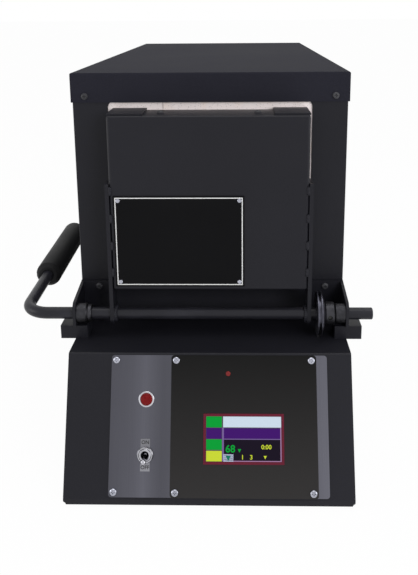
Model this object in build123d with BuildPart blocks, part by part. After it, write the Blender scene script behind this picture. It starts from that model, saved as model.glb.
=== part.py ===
import os
from math import cos, pi, radians, sin, tan

from build123d import *

# Firebrick kiln with a drop-down door, standing on its control base. Millimetres, +Z up.
# The front looks along -Y. The origin is the underside of the middle front foot.

# Firing chamber and its lining
chamber_width = 139.0
chamber_height = 108.0
chamber_depth = 571.5
brick = 75.0
blanket = 17.0
brick_joint = 0.6
roof_joint_x = -50.0
brick_row_count = 6
groove_width = 12.0
groove_depth = 13.0
groove_pitch = 54.0
coil_diameter = 9.0
coil_end_gap = 22.0
coil_bend = 9.0
tail_diameter = 4.0
tail_hole = 7.0
tail_spacing = 26.0
terminal_height = 16.0
terminal_width = 22.0

# Steel sheet
sheet = 1.5
bend = 3.0
cover_flange = 31.0
cover_clearance = 0.25
rear_flange = 14.0

# Base under the body
base_step = 1.5
base_height = 135.0
lip_height = 6.0
lip_relief = 2.5
panel_lean = 24.0
ledge_depth = 84.0
foot_height = 4.5
foot_diameter = 11.0
foot_tip_diameter = 8.0
foot_inset = 16.0
foot_side_inset = 22.0
pan_flange = 15.0
pan_screw_inset = 50.0
vent_count = 9
vent_width = 4.0
vent_length = 46.0
vent_pitch = 11.0

# Door, its arms and the rod it turns on
door_lap = 33.0
door_height = 183.6
door_ahead = 50.0
door_gap = 2.0
door_bend = 4.0
door_edge = 2.0
door_bottom_above_rod = 30.2
door_side_margin = 6.0
opening_above_door = 9.2
opening_below_door = 5.0
opening_corner = 7.0
seat_gap = 0.3
rod_diameter = 12.7
rod_height = 25.3
rod_ahead = 41.0
rod_end_reach = 26.3
rod_end_chamfer = 0.8
handle_reach = 55.0
handle_bend = 25.0
handle_rise = 2.5
grip_start = 101.0
grip_length = 156.0
grip_diameter = 30.0
grip_end_wall = 4.0
grip_chamfer = 4.5
arm_thickness = 4.0
arm_width = 25.4
arm_above_rod = 144.0
arm_below_rod = 10.0
weld_pitch = 29.2
weld_length = 9.0
weld_count = 4
weld_crown = 0.7
weld_end_gap = 2.6
rod_weld = 3.2
tab_length = 36.0
tab_thickness = 2.2
door_screw_inset = 16.5
door_screw_length = 12.0

# Bushings, brackets, collars and the cam on the rod
running_clearance = 0.05
fixed_clearance = 0.1
bracket_sheet = 3.0
bracket_above_rod = 22.5
bracket_plate_width = 36.0
bracket_screw_inset = 16.0
bracket_screw_drop = 6.3
ear_reach = 53.0
ear_front_height = 15.0
ear_corner = 5.0
bushing_diameter = 21.3
bushing_length = 11.4
shank_diameter = 16.0
block_depth = 25.4
block_reach = 50.0
block_end_reach = 14.3
collar_diameter = 24.8
collar_width = 9.6
slim_collar_diameter = 19.0
slim_collar_width = 4.0
stack_gap = 0.3
cam_radius = 23.6
cam_flange = 1.2
cam_groove = 2.8
cam_cone = 3.4
cam_root = 17.0
cam_lift_per_radian = 1.2
door_opens = 105.0
pin_diameter = 2.2
pin_clearance = 0.08
pin_length = 22.0
neck_wall = 1.7
set_screw_diameter = 5.0
set_screw_length = 4.0
switch_length = 28.0
switch_height = 16.0
switch_thickness = 10.0

# Plates on the leaning front panel, placed by X and by the distance down the panel
plate_left = -99.6
plate_right = 119.4
plate_top = 2.0
plate_bottom = 139.0
plate_corner = 3.0
plate_thickness = 1.0
plate_screw_inset = 5.0
face_left = -38.4
face_right = 108.4
face_thickness = 1.5
cutout_margin = 14.0
screen_left = -3.0
screen_down = 61.4
screen_width = 75.5
screen_height = 43.4
screen_border = 2.6
screen_thickness = 3.0
screen_recess = 0.4
led_x = 19.2
led_down = 20.0
led_diameter = 5.0
board_gap = 9.0
board_thickness = 1.6
board_inset = 18.0
standoff_diameter = 6.0
pilot_x = -63.2
pilot_down = 45.3
pilot_diameter = 16.0
pilot_rim = 2.4
pilot_lens_diameter = 12.6
pilot_body_diameter = 13.4
pilot_body_length = 24.0
switch_x = -63.5
switch_down = 98.9
bushing_thread = 11.9
bushing_proud = 4.0
nut_diameter = 16.5
nut_height = 2.6
switch_mouth = 8.4
switch_case_width = 17.0
switch_case_depth = 20.0
switch_throw = 26.0
lever_length = 19.0
lever_ball = 5.6
lever_stem = 3.0
lever_pivot = 6.0
lever_foot = 5.0
lever_pivot_depth = 3.0
legend_width = 9.5
legend_length = 31.0
legend_thickness = 0.8

# Rear fittings and what stands on the floor pan
gland_diameter = 22.0
gland_thread = 16.0
gland_length = 20.0
gland_bore = 9.0
gland_x = -90.0
gland_z = 40.0
relay_width = 45.0
relay_depth = 58.0
relay_height = 34.0
relay_spacing = 70.0
probe_diameter = 6.4
probe_reach = 25.0
probe_height = 78.0
probe_block_width = 44.0
probe_block_height = 24.0
probe_block_depth = 14.0

# Fasteners and the information plate
screw_head = 7.4
screw_head_height = 2.2
screw_shank = 4.0
screw_length = 6.0
cover_screw_inset = 15.25
cover_screw_up = 6.5
cover_side_rows = 3
cover_side_inset = 22.0
rear_screw_inset = 9.0
rear_screw_rows = 3
info_width = 134.6
info_height = 97.8
info_above_rod = 34.2
info_thickness = 0.8
rivet_head = 4.4
rivet_head_height = 0.7
rivet_inset = 5.0
rivet_shank = 3.0

# Places worked out from the sizes above
base_bottom = foot_height
ledge_z = base_bottom + base_height
lean = radians(panel_lean)
base_front_y = -foot_inset
ledge_front_y = base_front_y + (base_height - lip_height) * tan(lean)
panel_y = ledge_front_y + ledge_depth
body_half = chamber_width / 2 + brick + sheet
body_depth = chamber_depth + brick + 3 * sheet
base_width = 2 * (body_half - base_step)
back_y = panel_y + body_depth
brick_front_y = panel_y + sheet
brick_back_y = back_y - 2 * sheet
chamber_back_y = brick_back_y - brick
lining_length = brick_back_y - brick_front_y
lining_middle_y = (brick_front_y + brick_back_y) / 2
lining_half = body_half - sheet
body_middle_y = (panel_y + back_y) / 2
floor_z = ledge_z + sheet + brick
chamber_z = floor_z + chamber_height / 2
roof_z = floor_z + chamber_height
roof_top_z = roof_z + brick
cover_top_z = roof_top_z + blanket + sheet
cover_bottom_z = cover_top_z - cover_flange
cover_half = body_half + cover_clearance + sheet
cover_screw_x = cover_half - cover_screw_inset
rear_screw_x = body_half - rear_screw_inset
rod_radius = rod_diameter / 2
rod_y = panel_y - rod_ahead
rod_z = ledge_z + rod_height
door_width = chamber_width + 2 * door_lap
door_half = door_width / 2
door_screw_x = door_half - tab_length - door_screw_inset
door_front_y = panel_y - door_ahead
door_back_y = panel_y - door_gap
door_bottom = rod_z + door_bottom_above_rod
door_top = door_bottom + door_height
opening_half = door_half + door_side_margin
opening_bottom = door_bottom - opening_below_door
opening_top = door_top + opening_above_door
arm_middle_y = door_front_y + arm_width / 2
ear_inner_x = body_half - bracket_sheet
bracket_inner_x = body_half - bracket_plate_width
bracket_screw_x = bracket_inner_x + bracket_screw_inset
rod_right_end = body_half + rod_end_reach
handle_x = -body_half - handle_reach
block_outer_x = body_half + block_end_reach
bushing_inner_x = ear_inner_x - bushing_length
block_inner_x = bushing_inner_x
block_height = rod_height - bushing_diameter / 2 - seat_gap
block_middle_y = panel_y - block_reach + block_depth / 2
collar_outer_x = bushing_inner_x - stack_gap
collar_inner_x = collar_outer_x - collar_width
cam_inner_x = collar_inner_x - stack_gap - cam_cone - 2 * cam_flange - cam_groove
groove_x = cam_inner_x + cam_flange + cam_groove / 2
slim_collar_x = -collar_outer_x
neck_diameter = pin_diameter + 2 * neck_wall
lower_groove_z = chamber_z - groove_pitch / 2
upper_groove_z = chamber_z + groove_pitch / 2
coil_x = chamber_width / 2 + groove_depth - coil_diameter / 2
coil_front_y = brick_front_y + coil_end_gap
upper_tail_y = chamber_back_y - coil_end_gap
lower_tail_y = upper_tail_y - tail_spacing
tail_end_z = ledge_z - sheet - terminal_height / 2
tail_places = [(x, y) for x in (-coil_x, coil_x) for y in (lower_tail_y, upper_tail_y)]
foot_rows = [0, back_y - foot_inset]
foot_spacing = base_width / 2 - foot_side_inset
foot_places = [(x, y) for y in foot_rows for x in (-foot_spacing, 0, foot_spacing)]
plate_middle_x = (plate_left + plate_right) / 2
plate_middle_down = (plate_top + plate_bottom) / 2
face_middle_x = (face_left + face_right) / 2
face_width = face_right - face_left
face_height = plate_bottom - plate_top
screen_middle_x = screen_left + screen_width / 2
screen_middle_down = screen_down + screen_height / 2
info_left = -door_half + door_bend

# The leaning front panel: the origin is the middle of its top edge, and local +Y runs up it
slope = Plane(
    origin=(0, ledge_front_y, ledge_z), x_dir=(1, 0, 0), z_dir=(0, -cos(lean), sin(lean))
)
plate_plane = slope.offset(plate_thickness)
face_plane = plate_plane.offset(face_thickness)

os.makedirs("parts", exist_ok=True)


def save(part, name):
    """Label a finished piece and write it to its own file."""
    part.label = name
    export_step(part, f"parts/{name}.step")


def on_slope(x, down):
    """A place on the leaning panel, from X and the distance down from its top edge."""
    return (x, -down)


plate_screw_places = [
    on_slope(plate_left + plate_screw_inset, down)
    for down in (plate_top + plate_screw_inset, plate_bottom - plate_screw_inset)
]
face_screw_places = [
    on_slope(x, down)
    for x in (face_left + plate_screw_inset, face_right - plate_screw_inset)
    for down in (plate_top + plate_screw_inset, plate_bottom - plate_screw_inset)
]


def screw_holes(plane, places, depth=3 * sheet):
    """Clearance holes through a sheet, for the screws at these places on a plane."""
    with BuildSketch(plane) as holes:
        with Locations(*places):
            Circle(screw_shank / 2 + fixed_clearance)
    extrude(holes.sketch, amount=depth, both=True, mode=Mode.SUBTRACT)


def pan_screws(plane, places, head=screw_head, rise=screw_head_height, length=screw_length):
    """Pan-head screws that stand on a plane, each one a separate solid."""
    with BuildPart() as screws:
        with BuildSketch(plane):
            with Locations(*places):
                Circle(head / 2)
        extrude(amount=rise)
        tops = screws.faces().filter_by(Axis(plane.origin, plane.z_dir))
        chamfer(tops.sort_by(Axis(plane.origin, plane.z_dir))[-len(places):].edges(), rise / 2)
        with BuildSketch(plane):
            with Locations(*places):
                Circle(screw_shank / 2)
        extrude(amount=-length)
    return screws.part


# Base case: one folded sheet with its ledge and leaning front panel, open below and behind
side_plane = Plane.YZ.offset(base_width / 2)
other_side_plane = Plane(origin=(-base_width / 2, 0, 0), x_dir=(0, -1, 0), z_dir=(-1, 0, 0))
pan_screw_ys = [base_front_y + pan_screw_inset, body_middle_y, back_y - pan_screw_inset]
pan_screw_z = base_bottom + sheet + pan_flange / 2
rear_flange_y = back_y - sheet - pan_flange / 2
rear_flange_zs = [base_bottom + base_height * 0.4, base_bottom + base_height * 0.8]
base_screw_spots = [(y, pan_screw_z) for y in pan_screw_ys]
base_screw_spots += [(rear_flange_y, z) for z in rear_flange_zs]

with BuildPart() as base_case:
    with BuildSketch(Plane.YZ):
        with BuildLine():
            Polyline(
                (base_front_y, base_bottom),
                (base_front_y, base_bottom + lip_height),
                (ledge_front_y, ledge_z),
                (back_y, ledge_z),
                (back_y, base_bottom),
                close=True,
            )
        make_face()
    extrude(amount=base_width / 2, both=True)
    top_edges = base_case.edges().filter_by(Axis.X).group_by(Axis.Z)[-1]
    fillet(top_edges.sort_by(Axis.Y)[0], bend)
    with BuildSketch(Plane.YZ):
        with BuildLine():
            Polyline(
                (base_front_y + sheet, base_bottom - sheet),
                (base_front_y + sheet, base_bottom + lip_height - sheet * tan(lean / 2)),
                (ledge_front_y + sheet * tan((pi / 2 - lean) / 2), ledge_z - sheet),
                (back_y + sheet, ledge_z - sheet),
                (back_y + sheet, base_bottom - sheet),
                close=True,
            )
        make_face()
    extrude(amount=base_width / 2 - sheet, both=True, mode=Mode.SUBTRACT)
    # The lip below the panel is cut back at both ends, as a folded hem is
    with BuildSketch(Plane.XZ.offset(-base_front_y)):
        with Locations((-base_width / 2, base_bottom), (base_width / 2, base_bottom)):
            Rectangle(2 * lip_relief, lip_height)
    extrude(amount=2 * sheet, both=True, mode=Mode.SUBTRACT)
    # Cut-outs behind the controller, the pilot light and the power switch
    with BuildSketch(slope):
        with Locations(on_slope(face_middle_x, plate_middle_down)):
            Rectangle(face_width - 2 * cutout_margin, face_height - 2 * cutout_margin)
        with Locations(on_slope(pilot_x, pilot_down)):
            Circle(pilot_body_diameter / 2 + fixed_clearance)
        with Locations(on_slope(switch_x, switch_down)):
            Circle(bushing_thread / 2 + fixed_clearance)
    extrude(amount=3 * sheet, both=True, mode=Mode.SUBTRACT)
    screw_holes(slope, plate_screw_places + face_screw_places)
    # Cooling slots along both sides, and holes for the side screws
    with BuildSketch(Plane.YZ):
        with Locations((body_middle_y, base_bottom + base_height / 2)):
            with GridLocations(vent_pitch, vent_pitch, vent_count, 1):
                SlotOverall(vent_length, vent_width, rotation=90)
        with Locations(*base_screw_spots):
            Circle(screw_shank / 2 + fixed_clearance)
    extrude(amount=base_width, both=True, mode=Mode.SUBTRACT)
    # Holes in the ledge for the door switch and the ends of the heating elements
    with BuildSketch(Plane.XY.offset(ledge_z)):
        with Locations((groove_x, rod_y)):
            Circle(neck_diameter / 2 + fixed_clearance)
        with Locations(*tail_places):
            Circle(tail_hole / 2)
    extrude(amount=2 * sheet, both=True, mode=Mode.SUBTRACT)
save(base_case.part, "base_case")

# Floor pan: a tray with its sides folded up inside the case
pan_front_y = base_front_y + sheet
pan_depth = back_y - pan_front_y
pan_width = base_width - 2 * sheet
with BuildPart() as base_floor_pan:
    with BuildSketch(Plane.XY.offset(base_bottom)):
        with Locations((0, pan_front_y + pan_depth / 2)):
            Rectangle(pan_width, pan_depth)
    extrude(amount=sheet)
    with BuildSketch(Plane.XY.offset(base_bottom + sheet)):
        with Locations((0, pan_front_y + pan_depth / 2 + pan_flange / 2)):
            with GridLocations(pan_width - sheet, 1, 2, 1):
                Rectangle(sheet, pan_depth - pan_flange)
    extrude(amount=pan_flange)
    with BuildSketch(Plane.YZ):
        with Locations(*base_screw_spots[: len(pan_screw_ys)]):
            Circle(screw_shank / 2 + fixed_clearance)
    extrude(amount=base_width, both=True, mode=Mode.SUBTRACT)
save(base_floor_pan.part, "base_floor_pan")

# Rear panel of the base, with folded side flanges, cooling slots and the cord gland's hole
rear_bottom_z = base_bottom + sheet
rear_height = ledge_z - sheet - rear_bottom_z
rear_inner_half = base_width / 2 - 2 * sheet
with BuildPart() as base_rear_panel:
    with BuildSketch(Plane.XZ.offset(-back_y)):
        with Locations((0, rear_bottom_z + rear_height / 2)):
            Rectangle(2 * rear_inner_half, rear_height)
        with Locations((0, ledge_z - sheet - rear_height * 0.4)):
            Rectangle(2 * rear_inner_half + 2 * sheet, rear_height * 0.8)
        with Locations((gland_x, gland_z)):
            Circle(gland_thread / 2 + fixed_clearance, mode=Mode.SUBTRACT)
        with Locations((-gland_x / 2, rear_bottom_z + rear_height / 2)):
            with GridLocations(vent_pitch, vent_pitch, vent_count, 1):
                SlotOverall(vent_length, vent_width, rotation=90, mode=Mode.SUBTRACT)
    extrude(amount=sheet)
    # The flanges stop above the floor pan's own
    with BuildSketch(Plane.YZ):
        with Locations((back_y - (pan_flange + sheet) / 2, ledge_z - sheet - rear_height * 0.4)):
            Rectangle(pan_flange - sheet, rear_height * 0.8)
        with Locations(*base_screw_spots[len(pan_screw_ys):]):
            Circle(screw_shank / 2 + fixed_clearance, mode=Mode.SUBTRACT)
    extrude(amount=base_width / 2 - sheet, both=True)
    with BuildSketch(Plane.YZ):
        with Locations((back_y - sheet - pan_flange, ledge_z)):
            Rectangle(2 * pan_flange, 3 * rear_height)
    extrude(amount=rear_inner_half, both=True, mode=Mode.SUBTRACT)
save(base_rear_panel.part, "base_rear_panel")

# Rubber feet: three under the front and three under the back
with BuildPart() as base_feet:
    for place in foot_places:
        with BuildSketch(Plane.XY.offset(base_bottom)):
            with Locations(place):
                Circle(foot_diameter / 2)
        with BuildSketch(Plane.XY):
            with Locations(place):
                Circle(foot_tip_diameter / 2)
        loft()
save(base_feet.part, "base_feet")

# Stainless control plate, screwed to the leaning panel
with BuildPart() as control_plate:
    with BuildSketch(slope):
        with Locations(on_slope(plate_middle_x, plate_middle_down)):
            RectangleRounded(plate_right - plate_left, face_height, plate_corner)
        with Locations(on_slope(face_middle_x, plate_middle_down)):
            Rectangle(
                face_width - 2 * cutout_margin,
                face_height - 2 * cutout_margin,
                mode=Mode.SUBTRACT,
            )
        with Locations(on_slope(pilot_x, pilot_down)):
            Circle(pilot_body_diameter / 2 + fixed_clearance, mode=Mode.SUBTRACT)
        with Locations(on_slope(switch_x, switch_down)):
            Circle(bushing_thread / 2 + fixed_clearance, mode=Mode.SUBTRACT)
        with Locations(*plate_screw_places, *face_screw_places):
            Circle(screw_shank / 2 + fixed_clearance, mode=Mode.SUBTRACT)
    extrude(amount=plate_thickness)
save(control_plate.part, "control_plate")

# Controller faceplate, with a window for the touch screen and a hole for the status light
with BuildPart() as controller_faceplate:
    with BuildSketch(plate_plane):
        with Locations(on_slope(face_middle_x, plate_middle_down)):
            RectangleRounded(face_width, face_height, plate_corner)
        with Locations(on_slope(screen_middle_x, screen_middle_down)):
            Rectangle(
                screen_width + 2 * screen_border,
                screen_height + 2 * screen_border,
                mode=Mode.SUBTRACT,
            )
        with Locations(on_slope(led_x, led_down)):
            Circle(led_diameter / 2 + fixed_clearance, mode=Mode.SUBTRACT)
        with Locations(*face_screw_places):
            Circle(screw_shank / 2 + fixed_clearance, mode=Mode.SUBTRACT)
    extrude(amount=face_thickness)
save(controller_faceplate.part, "controller_faceplate")

with BuildPart() as panel_screws:
    add(pan_screws(plate_plane, plate_screw_places))
    add(pan_screws(face_plane, face_screw_places))
save(panel_screws.part, "panel_screws")

# Frame round the touch screen, set in the faceplate's window
with BuildPart() as display_frame:
    with BuildSketch(plate_plane):
        with Locations(on_slope(screen_middle_x, screen_middle_down)):
            Rectangle(
                screen_width + 2 * screen_border - 2 * fixed_clearance,
                screen_height + 2 * screen_border - 2 * fixed_clearance,
            )
            Rectangle(screen_width, screen_height, mode=Mode.SUBTRACT)
    extrude(amount=face_thickness + screen_recess)
save(display_frame.part, "display_frame")

# Touch screen: the glass inside the frame, with its module reaching back to the board
board_plane = plate_plane.offset(-board_gap)
module_thickness = board_gap + face_thickness - screen_recess - screen_thickness
with BuildPart() as touch_screen:
    with BuildSketch(board_plane):
        with Locations(on_slope(screen_middle_x, screen_middle_down)):
            Rectangle(screen_width - 2 * screen_border, screen_height - 2 * screen_border)
    extrude(amount=module_thickness)
    with BuildSketch(board_plane.offset(module_thickness)):
        with Locations(on_slope(screen_middle_x, screen_middle_down)):
            Rectangle(screen_width - 2 * fixed_clearance, screen_height - 2 * fixed_clearance)
    extrude(amount=screen_thickness)
save(touch_screen.part, "touch_screen")

# Controller board, hung behind the faceplate on four standoffs
board_width = face_width - 2 * board_inset
board_height = face_height - 2 * board_inset
with BuildPart() as controller_board:
    with BuildSketch(board_plane):
        with Locations(on_slope(face_middle_x, plate_middle_down)):
            Rectangle(board_width, board_height)
    extrude(amount=-board_thickness)
    with BuildSketch(board_plane):
        with Locations(on_slope(face_middle_x, plate_middle_down)):
            with GridLocations(
                board_width - 2 * standoff_diameter, board_height - 2 * standoff_diameter, 2, 2
            ):
                Circle(standoff_diameter / 2)
    extrude(amount=board_gap)
save(controller_board.part, "controller_board")

# Status light: a domed lamp standing on the board, flush through the faceplate
with BuildPart() as status_light:
    with BuildSketch(board_plane):
        with Locations(on_slope(led_x, led_down)):
            Circle(led_diameter / 2)
    extrude(amount=board_gap + face_thickness + led_diameter / 4)
    lamp_top = status_light.faces().sort_by(Axis(slope.origin, slope.z_dir))[-1]
    fillet(lamp_top.edges(), led_diameter / 4)
save(status_light.part, "status_light")

# Pilot light: a bright bezel with its body behind the plate, and a domed red lens
with BuildPart() as pilot_bezel:
    with BuildSketch(plate_plane):
        with Locations(on_slope(pilot_x, pilot_down)):
            Circle(pilot_body_diameter / 2)
    extrude(amount=-pilot_body_length)
    with BuildSketch(plate_plane):
        with Locations(on_slope(pilot_x, pilot_down)):
            Circle(pilot_diameter / 2)
            Circle(pilot_lens_diameter / 2, mode=Mode.SUBTRACT)
    extrude(amount=pilot_rim)
    rim = pilot_bezel.faces().filter_by(GeomType.PLANE).sort_by(Axis(slope.origin, slope.z_dir))[-1]
    fillet(rim.outer_wire().edges(), (pilot_diameter - pilot_lens_diameter) / 4)
save(pilot_bezel.part, "pilot_bezel")

with BuildPart() as pilot_lens:
    with BuildSketch(plate_plane):
        with Locations(on_slope(pilot_x, pilot_down)):
            Circle(pilot_lens_diameter / 2 - fixed_clearance)
    extrude(amount=pilot_rim + pilot_lens_diameter / 8)
    lens_top = pilot_lens.faces().sort_by(Axis(slope.origin, slope.z_dir))[-1]
    fillet(lens_top.edges(), pilot_lens_diameter / 5)
save(pilot_lens.part, "pilot_lens")

# Power switch: case and threaded bushing, with a tapering socket for the lever
socket_radius = lever_pivot / 2 + seat_gap
with BuildPart() as power_switch:
    with BuildSketch(slope.offset(-sheet)):
        with Locations(on_slope(switch_x, switch_down)):
            Rectangle(switch_case_width, 1.5 * switch_case_width)
    extrude(amount=-switch_case_depth)
    with BuildSketch(slope.offset(-sheet)):
        with Locations(on_slope(switch_x, switch_down)):
            Circle(bushing_thread / 2)
    extrude(amount=sheet + plate_thickness + bushing_proud)
    with BuildSketch(plate_plane.offset(bushing_proud)):
        with Locations(on_slope(switch_x, switch_down)):
            Circle(switch_mouth / 2)
    with BuildSketch(plate_plane.offset(-lever_pivot_depth)):
        with Locations(on_slope(switch_x, switch_down)):
            Circle(socket_radius)
    loft(mode=Mode.SUBTRACT)
    with BuildSketch(plate_plane.offset(-lever_pivot_depth)):
        with Locations(on_slope(switch_x, switch_down)):
            Circle(socket_radius)
    extrude(amount=-lever_foot - 2 * seat_gap, mode=Mode.SUBTRACT)
save(power_switch.part, "power_switch")

# Plate marked ON and OFF under the switch's nut, and the nut
with BuildPart() as on_off_plate:
    with BuildSketch(plate_plane):
        with Locations(on_slope(switch_x, switch_down)):
            Rectangle(legend_width, legend_length)
            Circle((nut_diameter + bushing_thread) / 4)
            Circle(bushing_thread / 2 + fixed_clearance, mode=Mode.SUBTRACT)
    extrude(amount=legend_thickness)
save(on_off_plate.part, "on_off_plate")

nut_plane = plate_plane.offset(legend_thickness)
with BuildPart() as switch_nut:
    with BuildSketch(nut_plane):
        with Locations(on_slope(switch_x, switch_down)):
            Circle(nut_diameter / 2)
            Circle(bushing_thread / 2 + fixed_clearance, mode=Mode.SUBTRACT)
    extrude(amount=nut_height)
    nut_top = switch_nut.faces().filter_by(GeomType.PLANE).sort_by(Axis(slope.origin, slope.z_dir))[-1]
    chamfer(nut_top.outer_wire().edges(), nut_height / 3)
save(switch_nut.part, "switch_nut")

# Switch lever, resting in the lower of its two positions
lever_tilt = lean - radians(switch_throw / 2)
lever_pivot_point = plate_plane.offset(-lever_pivot_depth).from_local_coords(
    (switch_x, -switch_down, 0)
)
lever_plane = Plane(
    origin=lever_pivot_point, x_dir=(1, 0, 0), z_dir=(0, -cos(lever_tilt), sin(lever_tilt))
)
with BuildPart(lever_plane) as switch_lever:
    Sphere(lever_pivot / 2)
    Cone(
        lever_stem * 0.45,
        lever_stem * 0.6,
        lever_length,
        align=(Align.CENTER, Align.CENTER, Align.MIN),
    )
    with Locations((0, 0, lever_length)):
        Sphere(lever_ball / 2)
    Cylinder(
        lever_stem / 3,
        lever_foot,
        align=(Align.CENTER, Align.CENTER, Align.MAX),
    )
save(switch_lever.part, "switch_lever")

# Door switch under the ledge, and the pin that the cam on the rod pushes down
pin_top_z = rod_z - cam_root - seat_gap
pin_travel = cam_lift_per_radian * radians(door_opens)
pin_room_z = pin_top_z - pin_length - pin_travel - seat_gap
with BuildPart() as door_switch:
    with BuildSketch(Plane.XY.offset(ledge_z - sheet)):
        with Locations((groove_x, rod_y + switch_length / 4)):
            Rectangle(switch_thickness, switch_length)
    extrude(amount=-switch_height)
    with BuildSketch(Plane.XY.offset(ledge_z)):
        with Locations((groove_x, rod_y)):
            Circle(neck_diameter / 2)
    extrude(amount=-2 * sheet)
    with BuildSketch(Plane.XY.offset(pin_room_z)):
        with Locations((groove_x, rod_y)):
            Circle(pin_diameter / 2 + pin_clearance)
    extrude(amount=ledge_z + sheet - pin_room_z, mode=Mode.SUBTRACT)
save(door_switch.part, "door_switch")

with BuildPart() as switch_pin:
    with BuildSketch(Plane.XY.offset(pin_top_z)):
        with Locations((groove_x, rod_y)):
            Circle(pin_diameter / 2)
    extrude(amount=-pin_length)
    fillet(switch_pin.edges().sort_by(Axis.Z)[-1], pin_diameter * 0.4)
save(switch_pin.part, "switch_pin")

# Power relays on the floor pan, behind the control panel
relay_y = (ledge_front_y + panel_y) / 2 + relay_depth
with BuildPart() as power_relays:
    with BuildSketch(Plane.XY.offset(base_bottom + sheet)):
        with Locations((0, relay_y)):
            with GridLocations(relay_spacing, relay_spacing, 2, 1):
                Rectangle(relay_width, relay_depth * 1.25)
    extrude(amount=2 * sheet)
    with BuildSketch(Plane.XY.offset(base_bottom + sheet)):
        with Locations((0, relay_y)):
            with GridLocations(relay_spacing, relay_spacing, 2, 1):
                RectangleRounded(relay_width, relay_depth, bend)
    extrude(amount=relay_height)
save(power_relays.part, "power_relays")

# Ceramic terminal blocks under the ledge, where the ends of the elements come down
terminal_y = (lower_tail_y + upper_tail_y) / 2
with BuildPart() as terminal_blocks:
    with BuildSketch(Plane.XY.offset(ledge_z - sheet)):
        with Locations((-coil_x, terminal_y), (coil_x, terminal_y)):
            RectangleRounded(terminal_width, tail_spacing + terminal_width, bend)
        with Locations(*tail_places):
            Circle(tail_diameter / 2 + fixed_clearance, mode=Mode.SUBTRACT)
    extrude(amount=-terminal_height)
save(terminal_blocks.part, "terminal_blocks")

# Cord gland in the base's rear panel
with BuildPart() as cord_gland:
    with BuildSketch(Plane.XZ.offset(-back_y)):
        with Locations((gland_x, gland_z)):
            Circle(gland_diameter / 2)
    extrude(amount=-gland_length * 0.5)
    far_rim = cord_gland.faces().sort_by(Axis.Y)[-1].edges()
    fillet(far_rim, (gland_diameter - gland_bore) / 4)
    with BuildSketch(Plane.XZ.offset(-back_y)):
        with Locations((gland_x, gland_z)):
            Circle(gland_thread / 2)
    extrude(amount=gland_length * 0.5)
    with BuildSketch(Plane.XZ.offset(-back_y)):
        with Locations((gland_x, gland_z)):
            Circle(gland_bore / 2)
    extrude(amount=gland_length, both=True, mode=Mode.SUBTRACT)
save(cord_gland.part, "cord_gland")

with BuildPart() as base_screws:
    add(pan_screws(side_plane, base_screw_spots))
    add(pan_screws(other_side_plane, [(-y, z) for y, z in base_screw_spots]))
save(base_screws.part, "base_screws")

# Where the cover and the rear panel are screwed on
cover_screw_z = cover_bottom_z + cover_screw_up
cover_end_places = [(x, cover_screw_z) for x in (-cover_screw_x, cover_screw_x)]
side_step = (body_depth - 2 * cover_side_inset) / (cover_side_rows - 1)
cover_side_places = [
    (panel_y + cover_side_inset + side_step * row, cover_screw_z) for row in range(cover_side_rows)
]
rear_step = (cover_bottom_z - ledge_z - 2 * rear_flange) / (rear_screw_rows - 1)
rear_places = [
    (x, ledge_z + rear_flange + rear_step * row)
    for x in (-rear_screw_x, rear_screw_x)
    for row in range(rear_screw_rows)
]
bracket_screw_zs = [rod_z + bracket_above_rod - bracket_screw_drop, ledge_z + screw_head]
bracket_places = [(x, z) for x in (-bracket_screw_x, bracket_screw_x) for z in bracket_screw_zs]

# Body case: floor and sides in one sheet, with flanges turned in at the back
case_top_z = cover_top_z - sheet
case_height = case_top_z - ledge_z
with BuildPart() as body_case:
    with BuildSketch(Plane.XZ.offset(-(back_y - sheet))):
        with Locations((0, ledge_z + case_height / 2)):
            Rectangle(2 * body_half, case_height)
        with Locations((0, ledge_z + sheet + case_height / 2)):
            Rectangle(2 * lining_half, case_height, mode=Mode.SUBTRACT)
    extrude(amount=body_depth - 2 * sheet)
    with BuildSketch(Plane.XZ.offset(-(back_y - sheet))):
        with Locations((0, ledge_z + case_height / 2)):
            Rectangle(2 * body_half, case_height)
        with Locations((0, ledge_z + rear_flange + case_height / 2)):
            Rectangle(2 * (body_half - rear_flange), case_height, mode=Mode.SUBTRACT)
        with Locations(*rear_places):
            Circle(screw_shank / 2 + fixed_clearance, mode=Mode.SUBTRACT)
    extrude(amount=sheet)
    with BuildSketch(Plane.YZ):
        with Locations(*cover_side_places):
            Circle(screw_shank / 2 + fixed_clearance)
    extrude(amount=2 * body_half, both=True, mode=Mode.SUBTRACT)
    with BuildSketch(Plane.XY.offset(ledge_z)):
        with Locations(*tail_places):
            Circle(tail_hole / 2)
    extrude(amount=2 * sheet, mode=Mode.SUBTRACT)
save(body_case.part, "body_case")

# Front panel: an opening with rounded upper corners shows the lining behind the door
opening_height = opening_top - opening_bottom
with BuildPart() as front_panel:
    with BuildSketch(Plane.XZ.offset(-panel_y)):
        with Locations((0, ledge_z + case_height / 2)):
            Rectangle(2 * body_half, case_height)
        with Locations((0, opening_bottom + opening_height / 2)):
            RectangleRounded(
                2 * opening_half, opening_height, opening_corner, mode=Mode.SUBTRACT
            )
        with Locations(*bracket_places, *cover_end_places):
            Circle(screw_shank / 2 + fixed_clearance, mode=Mode.SUBTRACT)
    extrude(amount=-sheet)
    outer_corners = front_panel.edges().filter_by(Axis.Z).sort_by(Axis.Y)[:4]
    fillet([outer_corners.sort_by(Axis.X)[0], outer_corners.sort_by(Axis.X)[-1]], sheet * 0.8)
save(front_panel.part, "front_panel")

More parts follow.
